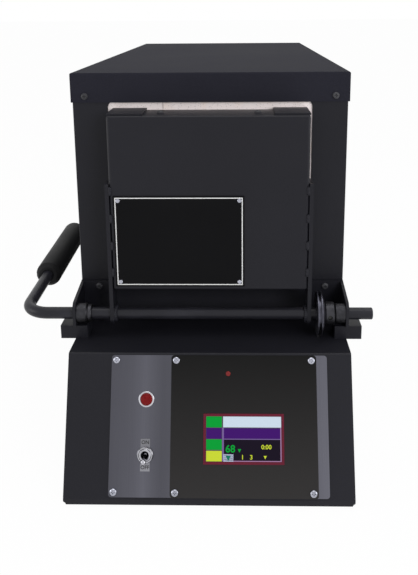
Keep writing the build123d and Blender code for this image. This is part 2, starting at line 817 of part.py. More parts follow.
# Rear panel, over the case's rear flanges
with BuildPart() as rear_panel:
    with BuildSketch(Plane.XZ.offset(-back_y)):
        with Locations((0, ledge_z + case_height / 2)):
            Rectangle(2 * body_half, case_height)
        with Locations((0, floor_z + probe_height)):
            Circle(probe_diameter / 2 + fixed_clearance, mode=Mode.SUBTRACT)
        with Locations(*rear_places, *cover_end_places):
            Circle(screw_shank / 2 + fixed_clearance, mode=Mode.SUBTRACT)
    extrude(amount=sheet)
save(rear_panel.part, "rear_panel")

rear_face = Plane(origin=(0, back_y, 0), x_dir=(-1, 0, 0), z_dir=(0, 1, 0))
with BuildPart() as rear_panel_screws:
    add(pan_screws(rear_face, [(-x, z) for x, z in rear_places], length=2 * sheet))
save(rear_panel_screws.part, "rear_panel_screws")

# Top cover: a lid folded down on all four sides over the case
cover_depth = body_depth + 2 * (cover_clearance + sheet)
with BuildPart() as top_cover:
    with BuildSketch(Plane.XY.offset(cover_bottom_z)):
        with Locations((0, body_middle_y)):
            Rectangle(2 * cover_half, cover_depth)
    extrude(amount=cover_flange)
    fillet(top_cover.edges().filter_by(Axis.Z), sheet * 1.2)
    fillet(top_cover.edges().group_by(Axis.Z)[-1], sheet * 1.2)
    with BuildSketch(Plane.XY.offset(cover_bottom_z)):
        with Locations((0, body_middle_y)):
            Rectangle(2 * (cover_half - sheet), cover_depth - 2 * sheet)
    extrude(amount=cover_flange - sheet, mode=Mode.SUBTRACT)
    with BuildSketch(Plane.XZ.offset(-body_middle_y)):
        with Locations(*cover_end_places):
            Circle(screw_shank / 2 + fixed_clearance)
    extrude(amount=cover_depth, both=True, mode=Mode.SUBTRACT)
    with BuildSketch(Plane.YZ):
        with Locations(*cover_side_places):
            Circle(screw_shank / 2 + fixed_clearance)
    extrude(amount=2 * cover_half, both=True, mode=Mode.SUBTRACT)
save(top_cover.part, "top_cover")

cover_front_face = Plane.XZ.offset(-(body_middle_y - cover_depth / 2))
cover_rear_face = Plane(
    origin=(0, body_middle_y + cover_depth / 2, 0), x_dir=(-1, 0, 0), z_dir=(0, 1, 0)
)
cover_right_face = Plane.YZ.offset(cover_half)
cover_left_face = Plane(origin=(-cover_half, 0, 0), x_dir=(0, -1, 0), z_dir=(-1, 0, 0))
cover_grip = 2 * sheet + cover_clearance
with BuildPart() as top_cover_screws:
    add(pan_screws(cover_front_face, cover_end_places, length=cover_grip))
    add(pan_screws(cover_rear_face, cover_end_places, length=cover_grip))
    add(pan_screws(cover_right_face, cover_side_places, length=cover_grip))
    add(pan_screws(cover_left_face, [(-y, z) for y, z in cover_side_places], length=cover_grip))
save(top_cover_screws.part, "top_cover_screws")

# Floor and roof bricks: rows across the body, each row with its joint on the other side
row_depth = lining_length / brick_row_count


def brick_rows(bottom_z, holes=()):
    """Rows of bricks across the body, each brick a separate solid."""
    with BuildPart() as rows:
        with BuildSketch(Plane.XY.offset(bottom_z)):
            for row in range(brick_row_count):
                joint_x = roof_joint_x * (-1) ** row
                row_y = brick_front_y + (row + 0.5) * row_depth
                for side in (-1, 1):
                    brick_width = lining_half - side * joint_x - brick_joint / 2
                    with Locations((side * (lining_half - brick_width / 2), row_y)):
                        Rectangle(brick_width, row_depth - brick_joint)
            if holes:
                with Locations(*holes):
                    Circle(tail_hole / 2, mode=Mode.SUBTRACT)
        extrude(amount=brick)
    return rows.part


save(brick_rows(ledge_z + sheet, tail_places), "floor_bricks")
save(brick_rows(roof_z), "roof_bricks")

# Wall bricks: two long and one half to a side, with grooves that hold the elements
long_brick = chamber_depth * 2 / 5
groove_rise = upper_groove_z - lower_groove_z
with BuildPart() as right_wall_bricks:
    with BuildSketch(Plane.XY.offset(floor_z)):
        with Locations((chamber_width / 2 + brick / 2, brick_front_y + chamber_depth / 2)):
            Rectangle(brick, chamber_depth)
    extrude(amount=chamber_height)
    with BuildSketch(Plane.YZ.offset(chamber_width / 2)):
        for end_y, run_z in ((upper_tail_y, upper_groove_z), (lower_tail_y, lower_groove_z)):
            with Locations(((coil_front_y + end_y) / 2, run_z)):
                Rectangle(end_y - coil_front_y + groove_width, groove_width)
            with Locations((end_y, (floor_z + run_z) / 2)):
                Rectangle(groove_width, run_z - floor_z)
        with Locations((coil_front_y, (upper_groove_z + lower_groove_z) / 2)):
            Rectangle(groove_width, groove_rise)
    extrude(amount=groove_depth, mode=Mode.SUBTRACT)
    with BuildSketch(Plane.YZ.offset(chamber_width / 2)):
        for joint in (1, 2):
            with Locations((brick_front_y + joint * long_brick, chamber_z)):
                Rectangle(brick_joint, chamber_height)
    extrude(amount=brick, mode=Mode.SUBTRACT)
save(right_wall_bricks.part, "right_wall_bricks")
with BuildPart() as left_wall_bricks:
    add(mirror(right_wall_bricks.part, about=Plane.YZ))
save(left_wall_bricks.part, "left_wall_bricks")

# Rear bricks, drilled for the thermocouple
with BuildPart() as rear_bricks:
    with BuildSketch(Plane.XZ.offset(-brick_back_y)):
        for side in (-1, 1):
            brick_width = lining_half - side * roof_joint_x - brick_joint / 2
            with Locations((side * (lining_half - brick_width / 2), chamber_z)):
                Rectangle(brick_width, chamber_height)
        with Locations((0, floor_z + probe_height)):
            Circle(probe_diameter / 2 + fixed_clearance, mode=Mode.SUBTRACT)
    extrude(amount=brick)
save(rear_bricks.part, "rear_bricks")

# Fibre blanket over the roof bricks
with BuildPart() as roof_blanket:
    with BuildSketch(Plane.XY.offset(roof_top_z)):
        with Locations((0, lining_middle_y)):
            Rectangle(2 * lining_half, lining_length)
    extrude(amount=blanket)
save(roof_blanket.part, "roof_blanket")

# Heating elements: each coil runs forward in the upper groove and back in the lower one
coil_drop = coil_bend + coil_diameter / 2
with BuildPart() as right_element:
    with BuildLine(Plane.YZ.offset(coil_x)) as coil_path:
        FilletPolyline(
            (upper_tail_y, upper_groove_z - coil_drop),
            (upper_tail_y, upper_groove_z),
            (coil_front_y, upper_groove_z),
            (coil_front_y, lower_groove_z),
            (lower_tail_y, lower_groove_z),
            (lower_tail_y, lower_groove_z - coil_drop),
            radius=coil_bend,
        )
    with BuildSketch(Plane.XY.offset(upper_groove_z - coil_drop)):
        with Locations((coil_x, upper_tail_y)):
            Circle(coil_diameter / 2)
    sweep()
    for tail_y, run_z in ((upper_tail_y, upper_groove_z), (lower_tail_y, lower_groove_z)):
        with BuildSketch(Plane.XY.offset(tail_end_z)):
            with Locations((coil_x, tail_y)):
                Circle(tail_diameter / 2)
        extrude(amount=run_z - coil_drop - tail_end_z)
save(right_element.part, "right_element")
with BuildPart() as left_element:
    add(mirror(right_element.part, about=Plane.YZ))
save(left_element.part, "left_element")

# Thermocouple through the back wall, and its ceramic block outside
probe_z = floor_z + probe_height
with BuildPart() as thermocouple:
    with BuildSketch(Plane.XZ.offset(-(back_y + probe_block_depth / 2))):
        with Locations((0, probe_z)):
            Circle(probe_diameter / 2)
    extrude(amount=back_y + probe_block_depth / 2 - chamber_back_y + probe_reach)
    fillet(thermocouple.edges().sort_by(Axis.Y)[0], probe_diameter * 0.45)
save(thermocouple.part, "thermocouple")

with BuildPart() as thermocouple_block:
    with BuildSketch(Plane.XZ.offset(-back_y)):
        with Locations((0, probe_z)):
            RectangleRounded(probe_block_width, probe_block_height, bend)
    extrude(amount=-probe_block_depth)
    with BuildSketch(Plane.XZ.offset(-back_y)):
        with Locations((0, probe_z)):
            Circle(probe_diameter / 2 + fixed_clearance)
    extrude(amount=-probe_block_depth / 2 - seat_gap, mode=Mode.SUBTRACT)
    with BuildSketch(Plane.XZ.offset(-(back_y + probe_block_depth))):
        with Locations((0, probe_z)):
            with GridLocations(probe_block_width / 2, probe_block_height, 2, 1):
                Rectangle(probe_block_height / 3, probe_block_height)
    extrude(amount=probe_block_depth / 3, mode=Mode.SUBTRACT)
save(thermocouple_block.part, "thermocouple_block")

# Hinge brackets: a plate on the front panel, with an ear turned forward to carry the rod
ear_front_y = panel_y - ear_reach
block_top_z = ledge_z + block_height
block_back_y = block_middle_y + block_depth / 2
with BuildPart() as right_hinge_bracket:
    with BuildSketch(Plane.XZ.offset(-panel_y)):
        with Locations(((bracket_inner_x + body_half) / 2, (ledge_z + rod_z + bracket_above_rod) / 2)):
            Rectangle(body_half - bracket_inner_x, rod_height + bracket_above_rod)
        with Locations(*[(bracket_screw_x, z) for z in bracket_screw_zs]):
            Circle(screw_shank / 2 + fixed_clearance, mode=Mode.SUBTRACT)
    extrude(amount=bracket_sheet)
    with BuildSketch(Plane.YZ.offset(ear_inner_x)):
        with BuildLine():
            Polyline(
                (panel_y, ledge_z),
                (block_back_y, ledge_z),
                (block_back_y, block_top_z),
                (ear_front_y, block_top_z),
                (ear_front_y, rod_z + ear_front_height - ear_corner),
                (ear_front_y + ear_corner, rod_z + ear_front_height),
                (panel_y, rod_z + bracket_above_rod),
                close=True,
            )
        make_face()
        with Locations((rod_y, rod_z)):
            Circle(shank_diameter / 2 + fixed_clearance, mode=Mode.SUBTRACT)
    extrude(amount=bracket_sheet)
    plate_corner_edge = right_hinge_bracket.edges().filter_by(Axis.Z).group_by(Axis.X)[0]
    chamfer(plate_corner_edge, bracket_sheet / 4)
save(right_hinge_bracket.part, "right_hinge_bracket")
with BuildPart() as left_hinge_bracket:
    add(mirror(right_hinge_bracket.part, about=Plane.YZ))
save(left_hinge_bracket.part, "left_hinge_bracket")

bracket_face = Plane.XZ.offset(-(panel_y - bracket_sheet))
with BuildPart() as bracket_screws:
    add(pan_screws(bracket_face, bracket_places, length=bracket_sheet + sheet))
save(bracket_screws.part, "bracket_screws")

# Hinge blocks: a square bar under each bushing, standing out past the side of the base
with BuildPart() as hinge_blocks:
    with BuildSketch(Plane.XY.offset(ledge_z)):
        with Locations((0, block_middle_y)):
            with GridLocations(block_inner_x + block_outer_x, block_depth, 2, 1):
                Rectangle(block_outer_x - block_inner_x, block_depth)
    extrude(amount=block_height)
    chamfer(hinge_blocks.edges().filter_by(Axis.Z), sheet / 3)
save(hinge_blocks.part, "hinge_blocks")

# Bushings in the ears: a wide body inside, and a shank through the ear
with BuildPart() as right_bushing:
    with BuildSketch(Plane.YZ.offset(bushing_inner_x)):
        with Locations((rod_y, rod_z)):
            Circle(bushing_diameter / 2)
    extrude(amount=bushing_length)
    chamfer(right_bushing.edges().sort_by(Axis.X)[0], bushing_diameter / 15)
    with BuildSketch(Plane.YZ.offset(ear_inner_x)):
        with Locations((rod_y, rod_z)):
            Circle(shank_diameter / 2)
    extrude(amount=bracket_sheet * 1.2)
    with BuildSketch(Plane.YZ.offset(bushing_inner_x)):
        with Locations((rod_y, rod_z)):
            Circle(rod_radius + running_clearance)
    extrude(amount=2 * bushing_length, mode=Mode.SUBTRACT)
save(right_bushing.part, "right_bushing")
with BuildPart() as left_bushing:
    add(mirror(right_bushing.part, about=Plane.YZ))
save(left_bushing.part, "left_bushing")

# Hinge rod: one bar across the front, bent back on the left into the handle
rise = radians(handle_rise)
rod_plane = Plane(origin=(0, rod_y, rod_z), x_dir=(1, 0, 0), z_dir=(0, -sin(rise), cos(rise)))
with BuildPart() as hinge_rod:
    with BuildLine(rod_plane) as rod_path:
        FilletPolyline(
            (rod_right_end, 0),
            (handle_x, 0),
            (handle_x, grip_start + grip_length - grip_end_wall),
            radius=handle_bend,
        )
    with BuildSketch(Plane.YZ.offset(rod_right_end)):
        with Locations((rod_y, rod_z)):
            Circle(rod_radius)
    sweep()
    rod_ends = hinge_rod.faces().filter_by(GeomType.PLANE).edges()
    chamfer(rod_ends, rod_end_chamfer)
save(hinge_rod.part, "hinge_rod")

# Grip on the handle, closed at its far end
handle_plane = Plane(
    origin=rod_plane.from_local_coords((handle_x, grip_start, 0)),
    x_dir=(1, 0, 0),
    z_dir=(0, cos(rise), sin(rise)),
)
with BuildPart() as handle_grip:
    with BuildSketch(handle_plane):
        Circle(grip_diameter / 2)
    extrude(amount=grip_length)
    grip_ends = handle_grip.edges().sort_by(Axis.Y)
    chamfer(grip_ends[0], grip_chamfer, grip_chamfer / 2)
    far_edge = handle_grip.faces().filter_by(GeomType.PLANE).sort_by(Axis.Y)[-1].edges()
    fillet(far_edge, grip_chamfer)
    with BuildSketch(handle_plane):
        Circle(rod_radius + fixed_clearance)
    extrude(amount=grip_length - grip_end_wall + fixed_clearance, mode=Mode.SUBTRACT)
save(handle_grip.part, "handle_grip")

# Door shell: a folded tray that holds the door brick, with its corner tabs on top
door_middle_y = (door_front_y + door_back_y) / 2
door_deep = door_back_y - door_front_y
info_middle_x = info_left + info_width / 2
info_middle_z = rod_z + info_above_rod + info_height / 2
door_screw_places = [(x, door_middle_y) for x in (-door_screw_x, door_screw_x)]
with BuildPart() as door_shell:
    with BuildSketch(Plane.XY.offset(door_bottom)):
        with Locations((0, door_middle_y)):
            Rectangle(door_width, door_deep)
    extrude(amount=door_height)
    fillet(door_shell.edges().filter_by(Axis.Z).group_by(Axis.Y)[0], door_bend)
    fillet(door_shell.faces().sort_by(Axis.Y)[0].edges().filter_by(Axis.X), door_edge)
    with BuildSketch(Plane.XY.offset(door_bottom + sheet)) as tray:
        with Locations((0, door_middle_y + sheet)):
            Rectangle(door_width - 2 * sheet, door_deep)
        fillet(tray.vertices().group_by(Axis.Y)[0], door_bend - sheet)
    extrude(amount=door_height - 2 * sheet, mode=Mode.SUBTRACT)
    # The side flanges fold over the top flange at both corners
    with BuildSketch(Plane.XY.offset(door_top)):
        with Locations((0, door_middle_y + door_bend / 2)):
            with GridLocations(door_width - tab_length, 1, 2, 1):
                Rectangle(tab_length, door_deep - door_bend)
    extrude(amount=tab_thickness)
    with BuildSketch(Plane.XY.offset(door_bottom)):
        with Locations(*door_screw_places):
            Circle(screw_shank / 2 + fixed_clearance)
    extrude(amount=door_height + tab_thickness, mode=Mode.SUBTRACT)
    with BuildSketch(Plane.XZ.offset(-door_front_y)):
        with Locations((info_middle_x, info_middle_z)):
            with GridLocations(info_width - 2 * rivet_inset, info_height - 2 * rivet_inset, 2, 2):
                Circle(rivet_shank / 2 + fixed_clearance)
    extrude(amount=-2 * sheet, mode=Mode.SUBTRACT)
save(door_shell.part, "door_shell")

# Door brick: fills the shell and closes the mouth of the chamber
door_brick_front_y = door_front_y + sheet + seat_gap
door_brick_back_y = brick_front_y - seat_gap
door_brick_width = door_width - 2 * sheet - 2 * seat_gap
door_brick_height = door_height - 2 * sheet - 2 * seat_gap
door_screw_sink = door_screw_length - sheet - seat_gap
with BuildPart() as door_brick:
    with BuildSketch(Plane.XY.offset(door_bottom + sheet + seat_gap)):
        with Locations((0, (door_brick_front_y + door_brick_back_y) / 2)):
            Rectangle(door_brick_width, door_brick_back_y - door_brick_front_y)
    extrude(amount=door_brick_height)
    chamfer(door_brick.faces().sort_by(Axis.Y)[0].edges(), door_bend - sheet)
    for end_z, into in ((door_bottom + sheet, 1), (door_top - sheet, -1)):
        with BuildSketch(Plane.XY.offset(end_z)):
            with Locations(*door_screw_places):
                Circle(screw_shank / 2 + fixed_clearance)
        extrude(amount=into * (door_screw_sink + 2 * seat_gap), mode=Mode.SUBTRACT)
save(door_brick.part, "door_brick")

door_under_plane = Plane(origin=(0, 0, door_bottom), x_dir=(1, 0, 0), z_dir=(0, 0, -1))
with BuildPart() as door_brick_screws:
    add(pan_screws(Plane.XY.offset(door_top), door_screw_places, length=door_screw_length))
    under_places = [(x, -y) for x, y in door_screw_places]
    add(pan_screws(door_under_plane, under_places, length=door_screw_length))
save(door_brick_screws.part, "door_brick_screws")

# Door arms: flat bars welded to the sides of the door and round the rod
weld_last_z = rod_z + arm_above_rod - weld_end_gap - weld_length
with BuildPart() as right_door_arm:
    with BuildSketch(Plane.YZ.offset(door_half)):
        with Locations((arm_middle_y, rod_z + (arm_above_rod - arm_below_rod) / 2)):
            Rectangle(arm_width, arm_above_rod + arm_below_rod)
        with Locations((rod_y, rod_z)):
            Circle(rod_radius + fixed_clearance, mode=Mode.SUBTRACT)
    extrude(amount=arm_thickness)
    lower_corners = right_door_arm.edges().filter_by(Axis.X).group_by(Axis.Z)[0]
    fillet(lower_corners, arm_below_rod * 0.6)
    # A weld bead round the rod on the arm's inner side
    with BuildSketch(Plane.YZ.offset(door_half)):
        with Locations((rod_y, rod_z)):
            Circle(rod_radius + rod_weld)
    with BuildSketch(Plane.YZ.offset(door_half - rod_weld)):
        with Locations((rod_y, rod_z)):
            Circle(rod_radius + rod_weld / 3)
    loft()
    with BuildSketch(Plane.YZ.offset(door_half + arm_thickness)):
        with Locations((rod_y, rod_z)):
            Circle(rod_radius + fixed_clearance)
    extrude(amount=-2 * (arm_thickness + rod_weld), mode=Mode.SUBTRACT)
    # Stitch welds lie in the groove between the arm and the door's rounded edge
    for number in range(weld_count):
        with BuildSketch(Plane.XY.offset(weld_last_z - number * weld_pitch)):
            with Locations((door_half, door_front_y - weld_crown)):
                Rectangle(door_bend, door_bend + weld_crown, align=(Align.MAX, Align.MIN))
            with Locations((door_half - door_bend, door_front_y + door_bend)):
                Circle(door_bend + fixed_clearance / 2, mode=Mode.SUBTRACT)
            with Locations((door_half - door_bend, door_front_y)):
                Rectangle(door_bend, 4 * weld_crown, mode=Mode.SUBTRACT)
        extrude(amount=weld_length)
save(right_door_arm.part, "right_door_arm")
with BuildPart() as left_door_arm:
    add(mirror(right_door_arm.part, about=Plane.YZ))
save(left_door_arm.part, "left_door_arm")

# Information plate, left bare, and its rivets
with BuildPart() as info_plate:
    with BuildSketch(Plane.XZ.offset(-door_front_y)):
        with Locations((info_middle_x, info_middle_z)):
            Rectangle(info_width, info_height)
            with GridLocations(info_width - 2 * rivet_inset, info_height - 2 * rivet_inset, 2, 2):
                Circle(rivet_shank / 2 + fixed_clearance, mode=Mode.SUBTRACT)
    extrude(amount=info_thickness)
save(info_plate.part, "info_plate")

with BuildPart() as plate_rivets:
    with BuildSketch(Plane.XZ.offset(-(door_front_y - info_thickness))):
        with Locations((info_middle_x, info_middle_z)):
            with GridLocations(info_width - 2 * rivet_inset, info_height - 2 * rivet_inset, 2, 2):
                Circle(rivet_head / 2)
    extrude(amount=rivet_head_height)
    with BuildSketch(Plane.XZ.offset(-(door_front_y - info_thickness))):
        with Locations((info_middle_x, info_middle_z)):
            with GridLocations(info_width - 2 * rivet_inset, info_height - 2 * rivet_inset, 2, 2):
                Circle(rivet_shank / 2)
    extrude(amount=-info_thickness - sheet)
save(plate_rivets.part, "plate_rivets")

# Collars that hold the rod endways: a wide one on the right, a slim one on the left
with BuildPart() as right_collar:
    with BuildSketch(Plane.YZ.offset(collar_inner_x)):
        with Locations((rod_y, rod_z)):
            Circle(collar_diameter / 2)
            Circle(rod_radius + fixed_clearance, mode=Mode.SUBTRACT)
    extrude(amount=collar_width)
    rims = right_collar.edges().filter_by(GeomType.CIRCLE).sort_by(SortBy.RADIUS)[-2:]
    chamfer(rims, collar_width / 12)
    with BuildSketch(Plane.XZ.offset(-rod_y)):
        with Locations(((collar_inner_x + collar_outer_x) / 2, rod_z)):
            Circle(set_screw_diameter / 2)
    extrude(amount=collar_diameter, mode=Mode.SUBTRACT)
save(right_collar.part, "right_collar")

with BuildPart() as left_collar:
    with BuildSketch(Plane.YZ.offset(slim_collar_x)):
        with Locations((rod_y, rod_z)):
            Circle(slim_collar_diameter / 2)
            Circle(rod_radius + fixed_clearance, mode=Mode.SUBTRACT)
    extrude(amount=slim_collar_width)
    rims = left_collar.edges().filter_by(GeomType.CIRCLE).sort_by(SortBy.RADIUS)[-2:]
    chamfer(rims, slim_collar_width / 8)
save(left_collar.part, "left_collar")

with BuildPart() as set_screw:
    with BuildSketch(Plane.XZ.offset(-(rod_y - rod_radius - fixed_clearance))):
        with Locations(((collar_inner_x + collar_outer_x) / 2, rod_z)):
            Circle(set_screw_diameter / 2 - fixed_clearance)
    extrude(amount=set_screw_length)
    with BuildSketch(Plane.XZ.offset(-(rod_y - rod_radius - set_screw_length))):
        with Locations(((collar_inner_x + collar_outer_x) / 2, rod_z)):
            RegularPolygon(set_screw_diameter / 4, 6)
    extrude(amount=-set_screw_length / 2, mode=Mode.SUBTRACT)
save(set_screw.part, "set_screw")

# Cam on the rod: two thin flanges guide the switch pin along a groove whose root is a spiral,
# so the pin goes down evenly as the door opens
open_angle = radians(door_opens)


def cam_radius_at(turned):
    """Radius of the groove's root under the rod, once the rod has turned this far."""
    if turned <= open_angle:
        return cam_root + cam_lift_per_radian * turned
    left = (2 * pi - turned) / (2 * pi - open_angle)
    return cam_root + cam_lift_per_radian * open_angle * left


def cam_point(turned):
    """Place of the root that comes under the rod once it has turned this far."""
    around = -pi / 2 - turned
    radius = cam_radius_at(turned)
    return (rod_y + radius * cos(around), rod_z + radius * sin(around))


rise_turns = [open_angle * step / 6 for step in range(7)]
fall_turns = [open_angle + (2 * pi - open_angle) * step / 12 for step in range(13)]
with BuildPart() as switch_cam:
    with BuildSketch(Plane.YZ.offset(cam_inner_x)):
        with Locations((rod_y, rod_z)):
            Circle(cam_radius)
    extrude(amount=cam_flange)
    with BuildSketch(Plane.YZ.offset(cam_inner_x + cam_flange)):
        with BuildLine():
            Spline(*[cam_point(turned) for turned in rise_turns])
            Spline(*[cam_point(turned) for turned in fall_turns])
        make_face()
    extrude(amount=cam_groove)
    outer_flange_x = cam_inner_x + cam_flange + cam_groove
    with BuildSketch(Plane.YZ.offset(outer_flange_x)):
        with Locations((rod_y, rod_z)):
            Circle(cam_radius)
    extrude(amount=cam_flange)
    with BuildSketch(Plane.YZ.offset(outer_flange_x + cam_flange)):
        with Locations((rod_y, rod_z)):
            Circle(cam_radius - cam_flange)
    with BuildSketch(Plane.YZ.offset(outer_flange_x + cam_flange + cam_cone)):
        with Locations((rod_y, rod_z)):
            Circle(collar_diameter / 2)
    loft()
    with BuildSketch(Plane.YZ.offset(cam_inner_x)):
        with Locations((rod_y, rod_z)):
            Circle(rod_radius + fixed_clearance)
    extrude(amount=2 * cam_radius, mode=Mode.SUBTRACT)
save(switch_cam.part, "switch_cam")
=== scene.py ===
"""Firebrick kiln with a drop-down door: fittings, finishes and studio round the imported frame."""

from math import atan2, copysign, cos, pi, radians, sin

import bmesh
import bpy
from mathutils import Matrix, Vector


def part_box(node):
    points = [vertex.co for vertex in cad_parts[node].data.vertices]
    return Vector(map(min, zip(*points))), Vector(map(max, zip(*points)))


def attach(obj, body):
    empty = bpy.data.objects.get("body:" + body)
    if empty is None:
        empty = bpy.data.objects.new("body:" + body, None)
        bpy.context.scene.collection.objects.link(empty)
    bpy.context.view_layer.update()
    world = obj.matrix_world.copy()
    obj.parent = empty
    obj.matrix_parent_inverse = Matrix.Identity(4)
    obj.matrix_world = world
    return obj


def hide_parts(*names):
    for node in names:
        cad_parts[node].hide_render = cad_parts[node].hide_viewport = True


bl_info = {
    "name": "Firebrick Kiln",
    "version": (1, 0, 0),
    "blender": (4, 5, 0),
    "location": "3D View > Sidebar > Kiln",
    "description": "Adds the fasteners, panel fittings, heating coils and finishes of a bench kiln",
    "category": "Object",
}

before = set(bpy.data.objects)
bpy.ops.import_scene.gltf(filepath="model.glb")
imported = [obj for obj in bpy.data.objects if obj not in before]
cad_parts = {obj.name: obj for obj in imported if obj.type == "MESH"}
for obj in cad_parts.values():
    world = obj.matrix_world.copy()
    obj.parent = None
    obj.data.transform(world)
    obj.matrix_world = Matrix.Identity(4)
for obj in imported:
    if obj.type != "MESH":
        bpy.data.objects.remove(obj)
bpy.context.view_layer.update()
MM = 0.001

# Directions of the leaning control panel: across it, up it and straight out of it
LEAN = radians(24.0)
PANEL = Matrix(((1, 0, 0), (0, sin(LEAN), -cos(LEAN)), (0, cos(LEAN), sin(LEAN))))

# The same for faces that look up, to the front, back, right and left, and down
UPRIGHT = Matrix.Identity(3)
FACING_FRONT = Matrix(((1, 0, 0), (0, 0, -1), (0, 1, 0)))
FACING_BACK = Matrix(((-1, 0, 0), (0, 0, 1), (0, 1, 0)))
FACING_RIGHT = Matrix(((0, 0, 1), (1, 0, 0), (0, 1, 0)))
FACING_LEFT = Matrix(((0, 0, -1), (-1, 0, 0), (0, 1, 0)))
FACING_DOWN = Matrix(((1, 0, 0), (0, -1, 0), (0, 0, -1)))

# For each axis, the directions that face its low end and its high end
FACING = ((FACING_LEFT, FACING_RIGHT), (FACING_FRONT, FACING_BACK), (FACING_DOWN, UPRIGHT))


# Sizes and colours a user would change


def length(name, description, millimetres):
    """A length, given in millimetres and kept in metres."""
    return bpy.props.FloatProperty(
        name=name, description=description, default=millimetres * MM, unit="LENGTH", precision=5
    )


def number(name, description, default, **kind):
    """A number, with its unit or subtype where one fits."""
    return bpy.props.FloatProperty(name=name, description=description, default=default, **kind)


def colour(name, description, default):
    """A colour in linear red, green and blue."""
    return bpy.props.FloatVectorProperty(
        name=name, description=description, default=default, subtype="COLOR", size=3, min=0, max=1
    )


class KilnSizes(bpy.types.PropertyGroup):
    """Sizes of the fittings"""

    recess_span: length("Recess span", "Width of the cross recess in a screw head", 3.6)
    recess_depth: length("Recess depth", "Depth of the cross recess in a screw head", 1.1)
    coil_wire: length("Coil wire", "Thickness of the heating wire", 1.6)
    coil_pitch: length("Coil pitch", "Distance from one turn of the heating coil to the next", 4.2)
    weld_ripple: length("Weld ripple", "Distance from one ripple of a weld to the next", 1.5)
    grip_line: length("Grip parting line", "Depth of the moulding line along the grip", 0.35)
    border_width: length(
        "Border width", "Width of the printed border on the information plate", 1.0
    )
    border_inset: length("Border inset", "Distance of that border from the plate's edge", 1.7)
    letter_height: length("Letter height", "Height of the words at the toggle switch", 3.6)


class KilnColours(bpy.types.PropertyGroup):
    """Colours of the finishes"""

    powder: colour("Powder coat", "Black powder coat on the sheet steel", (0.0100, 0.0100, 0.0136))
    faceplate: colour("Faceplate", "Printed face of the controller", (0.0075, 0.0070, 0.0070))
    stainless: colour("Stainless steel", "Brushed plate on the control panel", (0.10, 0.10, 0.12))
    brick: colour("Firebrick", "Insulating firebrick", (0.84, 0.765, 0.755))
    rubber: colour("Rubber", "Moulded grip and feet", (0.0100, 0.0100, 0.0106))
    zinc: colour("Bright zinc", "Plated screws and rivets", (0.46, 0.47, 0.54))
    lens: colour("Lamp lens", "Red lens of the pilot lamp", (0.100, 0.0035, 0.0040))
    screen_frame: colour("Screen frame", "Red frame round the display", (0.100, 0.007, 0.020))


class KilnStudio(bpy.types.PropertyGroup):
    """Strength of the lights and the surround"""

    key_power: number("Key light", "Power of the large light in front", 25.0, unit="POWER")
    top_power: number("Top light", "Power of the light overhead", 11.0, unit="POWER")
    side_power: number("Side lights", "Power of each light at the sides", 7.0, unit="POWER")
    surround: number("Surround", "Strength of the pale surround that lights the kiln", 0.55)
    floor_white: number(
        "Floor white",
        "Share of plain white in the floor as the camera sees it",
        0.97,
        subtype="FACTOR",
    )


# Shader maths


class Wire:
    """The output of a node: sums and products with it add maths nodes."""

    def __init__(self, nodes, socket):
        self.nodes = nodes
        self.socket = socket

    def __add__(self, other):
        return self.nodes.maths("ADD", self, other)

    __radd__ = __add__

    def __mul__(self, other):
        return self.nodes.maths("MULTIPLY", self, other)

    __rmul__ = __mul__

    def __sub__(self, other):
        return self.nodes.maths("SUBTRACT", self, other)

    def __rsub__(self, other):
        return self.nodes.maths("SUBTRACT", other, self)

    def __pow__(self, other):
        return self.nodes.maths("POWER", self, other)

    def above(self, edge, softness):
        """0 below the edge and 1 above it, with a soft step between."""
        return self.nodes.node(
            "ShaderNodeMapRange",
            {"interpolation_type": "SMOOTHSTEP"},
            {"Value": self, "From Min": edge - softness, "From Max": edge + softness},
        )


class Nodes:
    """The nodes of a material or a world."""

    def __init__(self, tree):
        self.tree = tree

    def node(self, kind, settings=None, sockets=None, out=0):
        """Adds a node of a type: its settings first, then the values or links of its sockets."""
        made = self.tree.nodes.new(kind)
        for key, value in (settings or {}).items():
            if key == "stops":
                self.set_stops(made.color_ramp, value)
            else:
                setattr(made, key, value)
        for key, value in (sockets or {}).items():
            self.feed(made.inputs[key], value)
        return Wire(self, made.outputs[out])

    def set_stops(self, ramp, stops):
        while len(ramp.elements) < len(stops):
            ramp.elements.new(1.0)
        for element, (place, tone) in zip(ramp.elements, stops):
            element.position = place
            element.color = (*tone, 1.0)

    def feed(self, socket, value):
        """Links a wire to a socket, or gives it a plain number, vector or colour."""
        if isinstance(value, Wire):
            self.tree.links.new(value.socket, socket)
        elif len_of(value) == 3 and len_of(socket.default_value) == 4:
            socket.default_value = (*value, 1.0)
        else:
            socket.default_value = value

    def maths(self, operation, *terms):
        return self.node("ShaderNodeMath", {"operation": operation}, dict(enumerate(terms)))

    def seen_rays(self):
        """1 for rays by which the camera sees something, straight, mirrored or through glass."""
        straight, mirrored, through = (
            self.node("ShaderNodeLightPath", out=f"Is {kind} Ray")
            for kind in ("Camera", "Glossy", "Transmission")
        )
        return self.maths("MAXIMUM", self.maths("MAXIMUM", straight, mirrored), through)


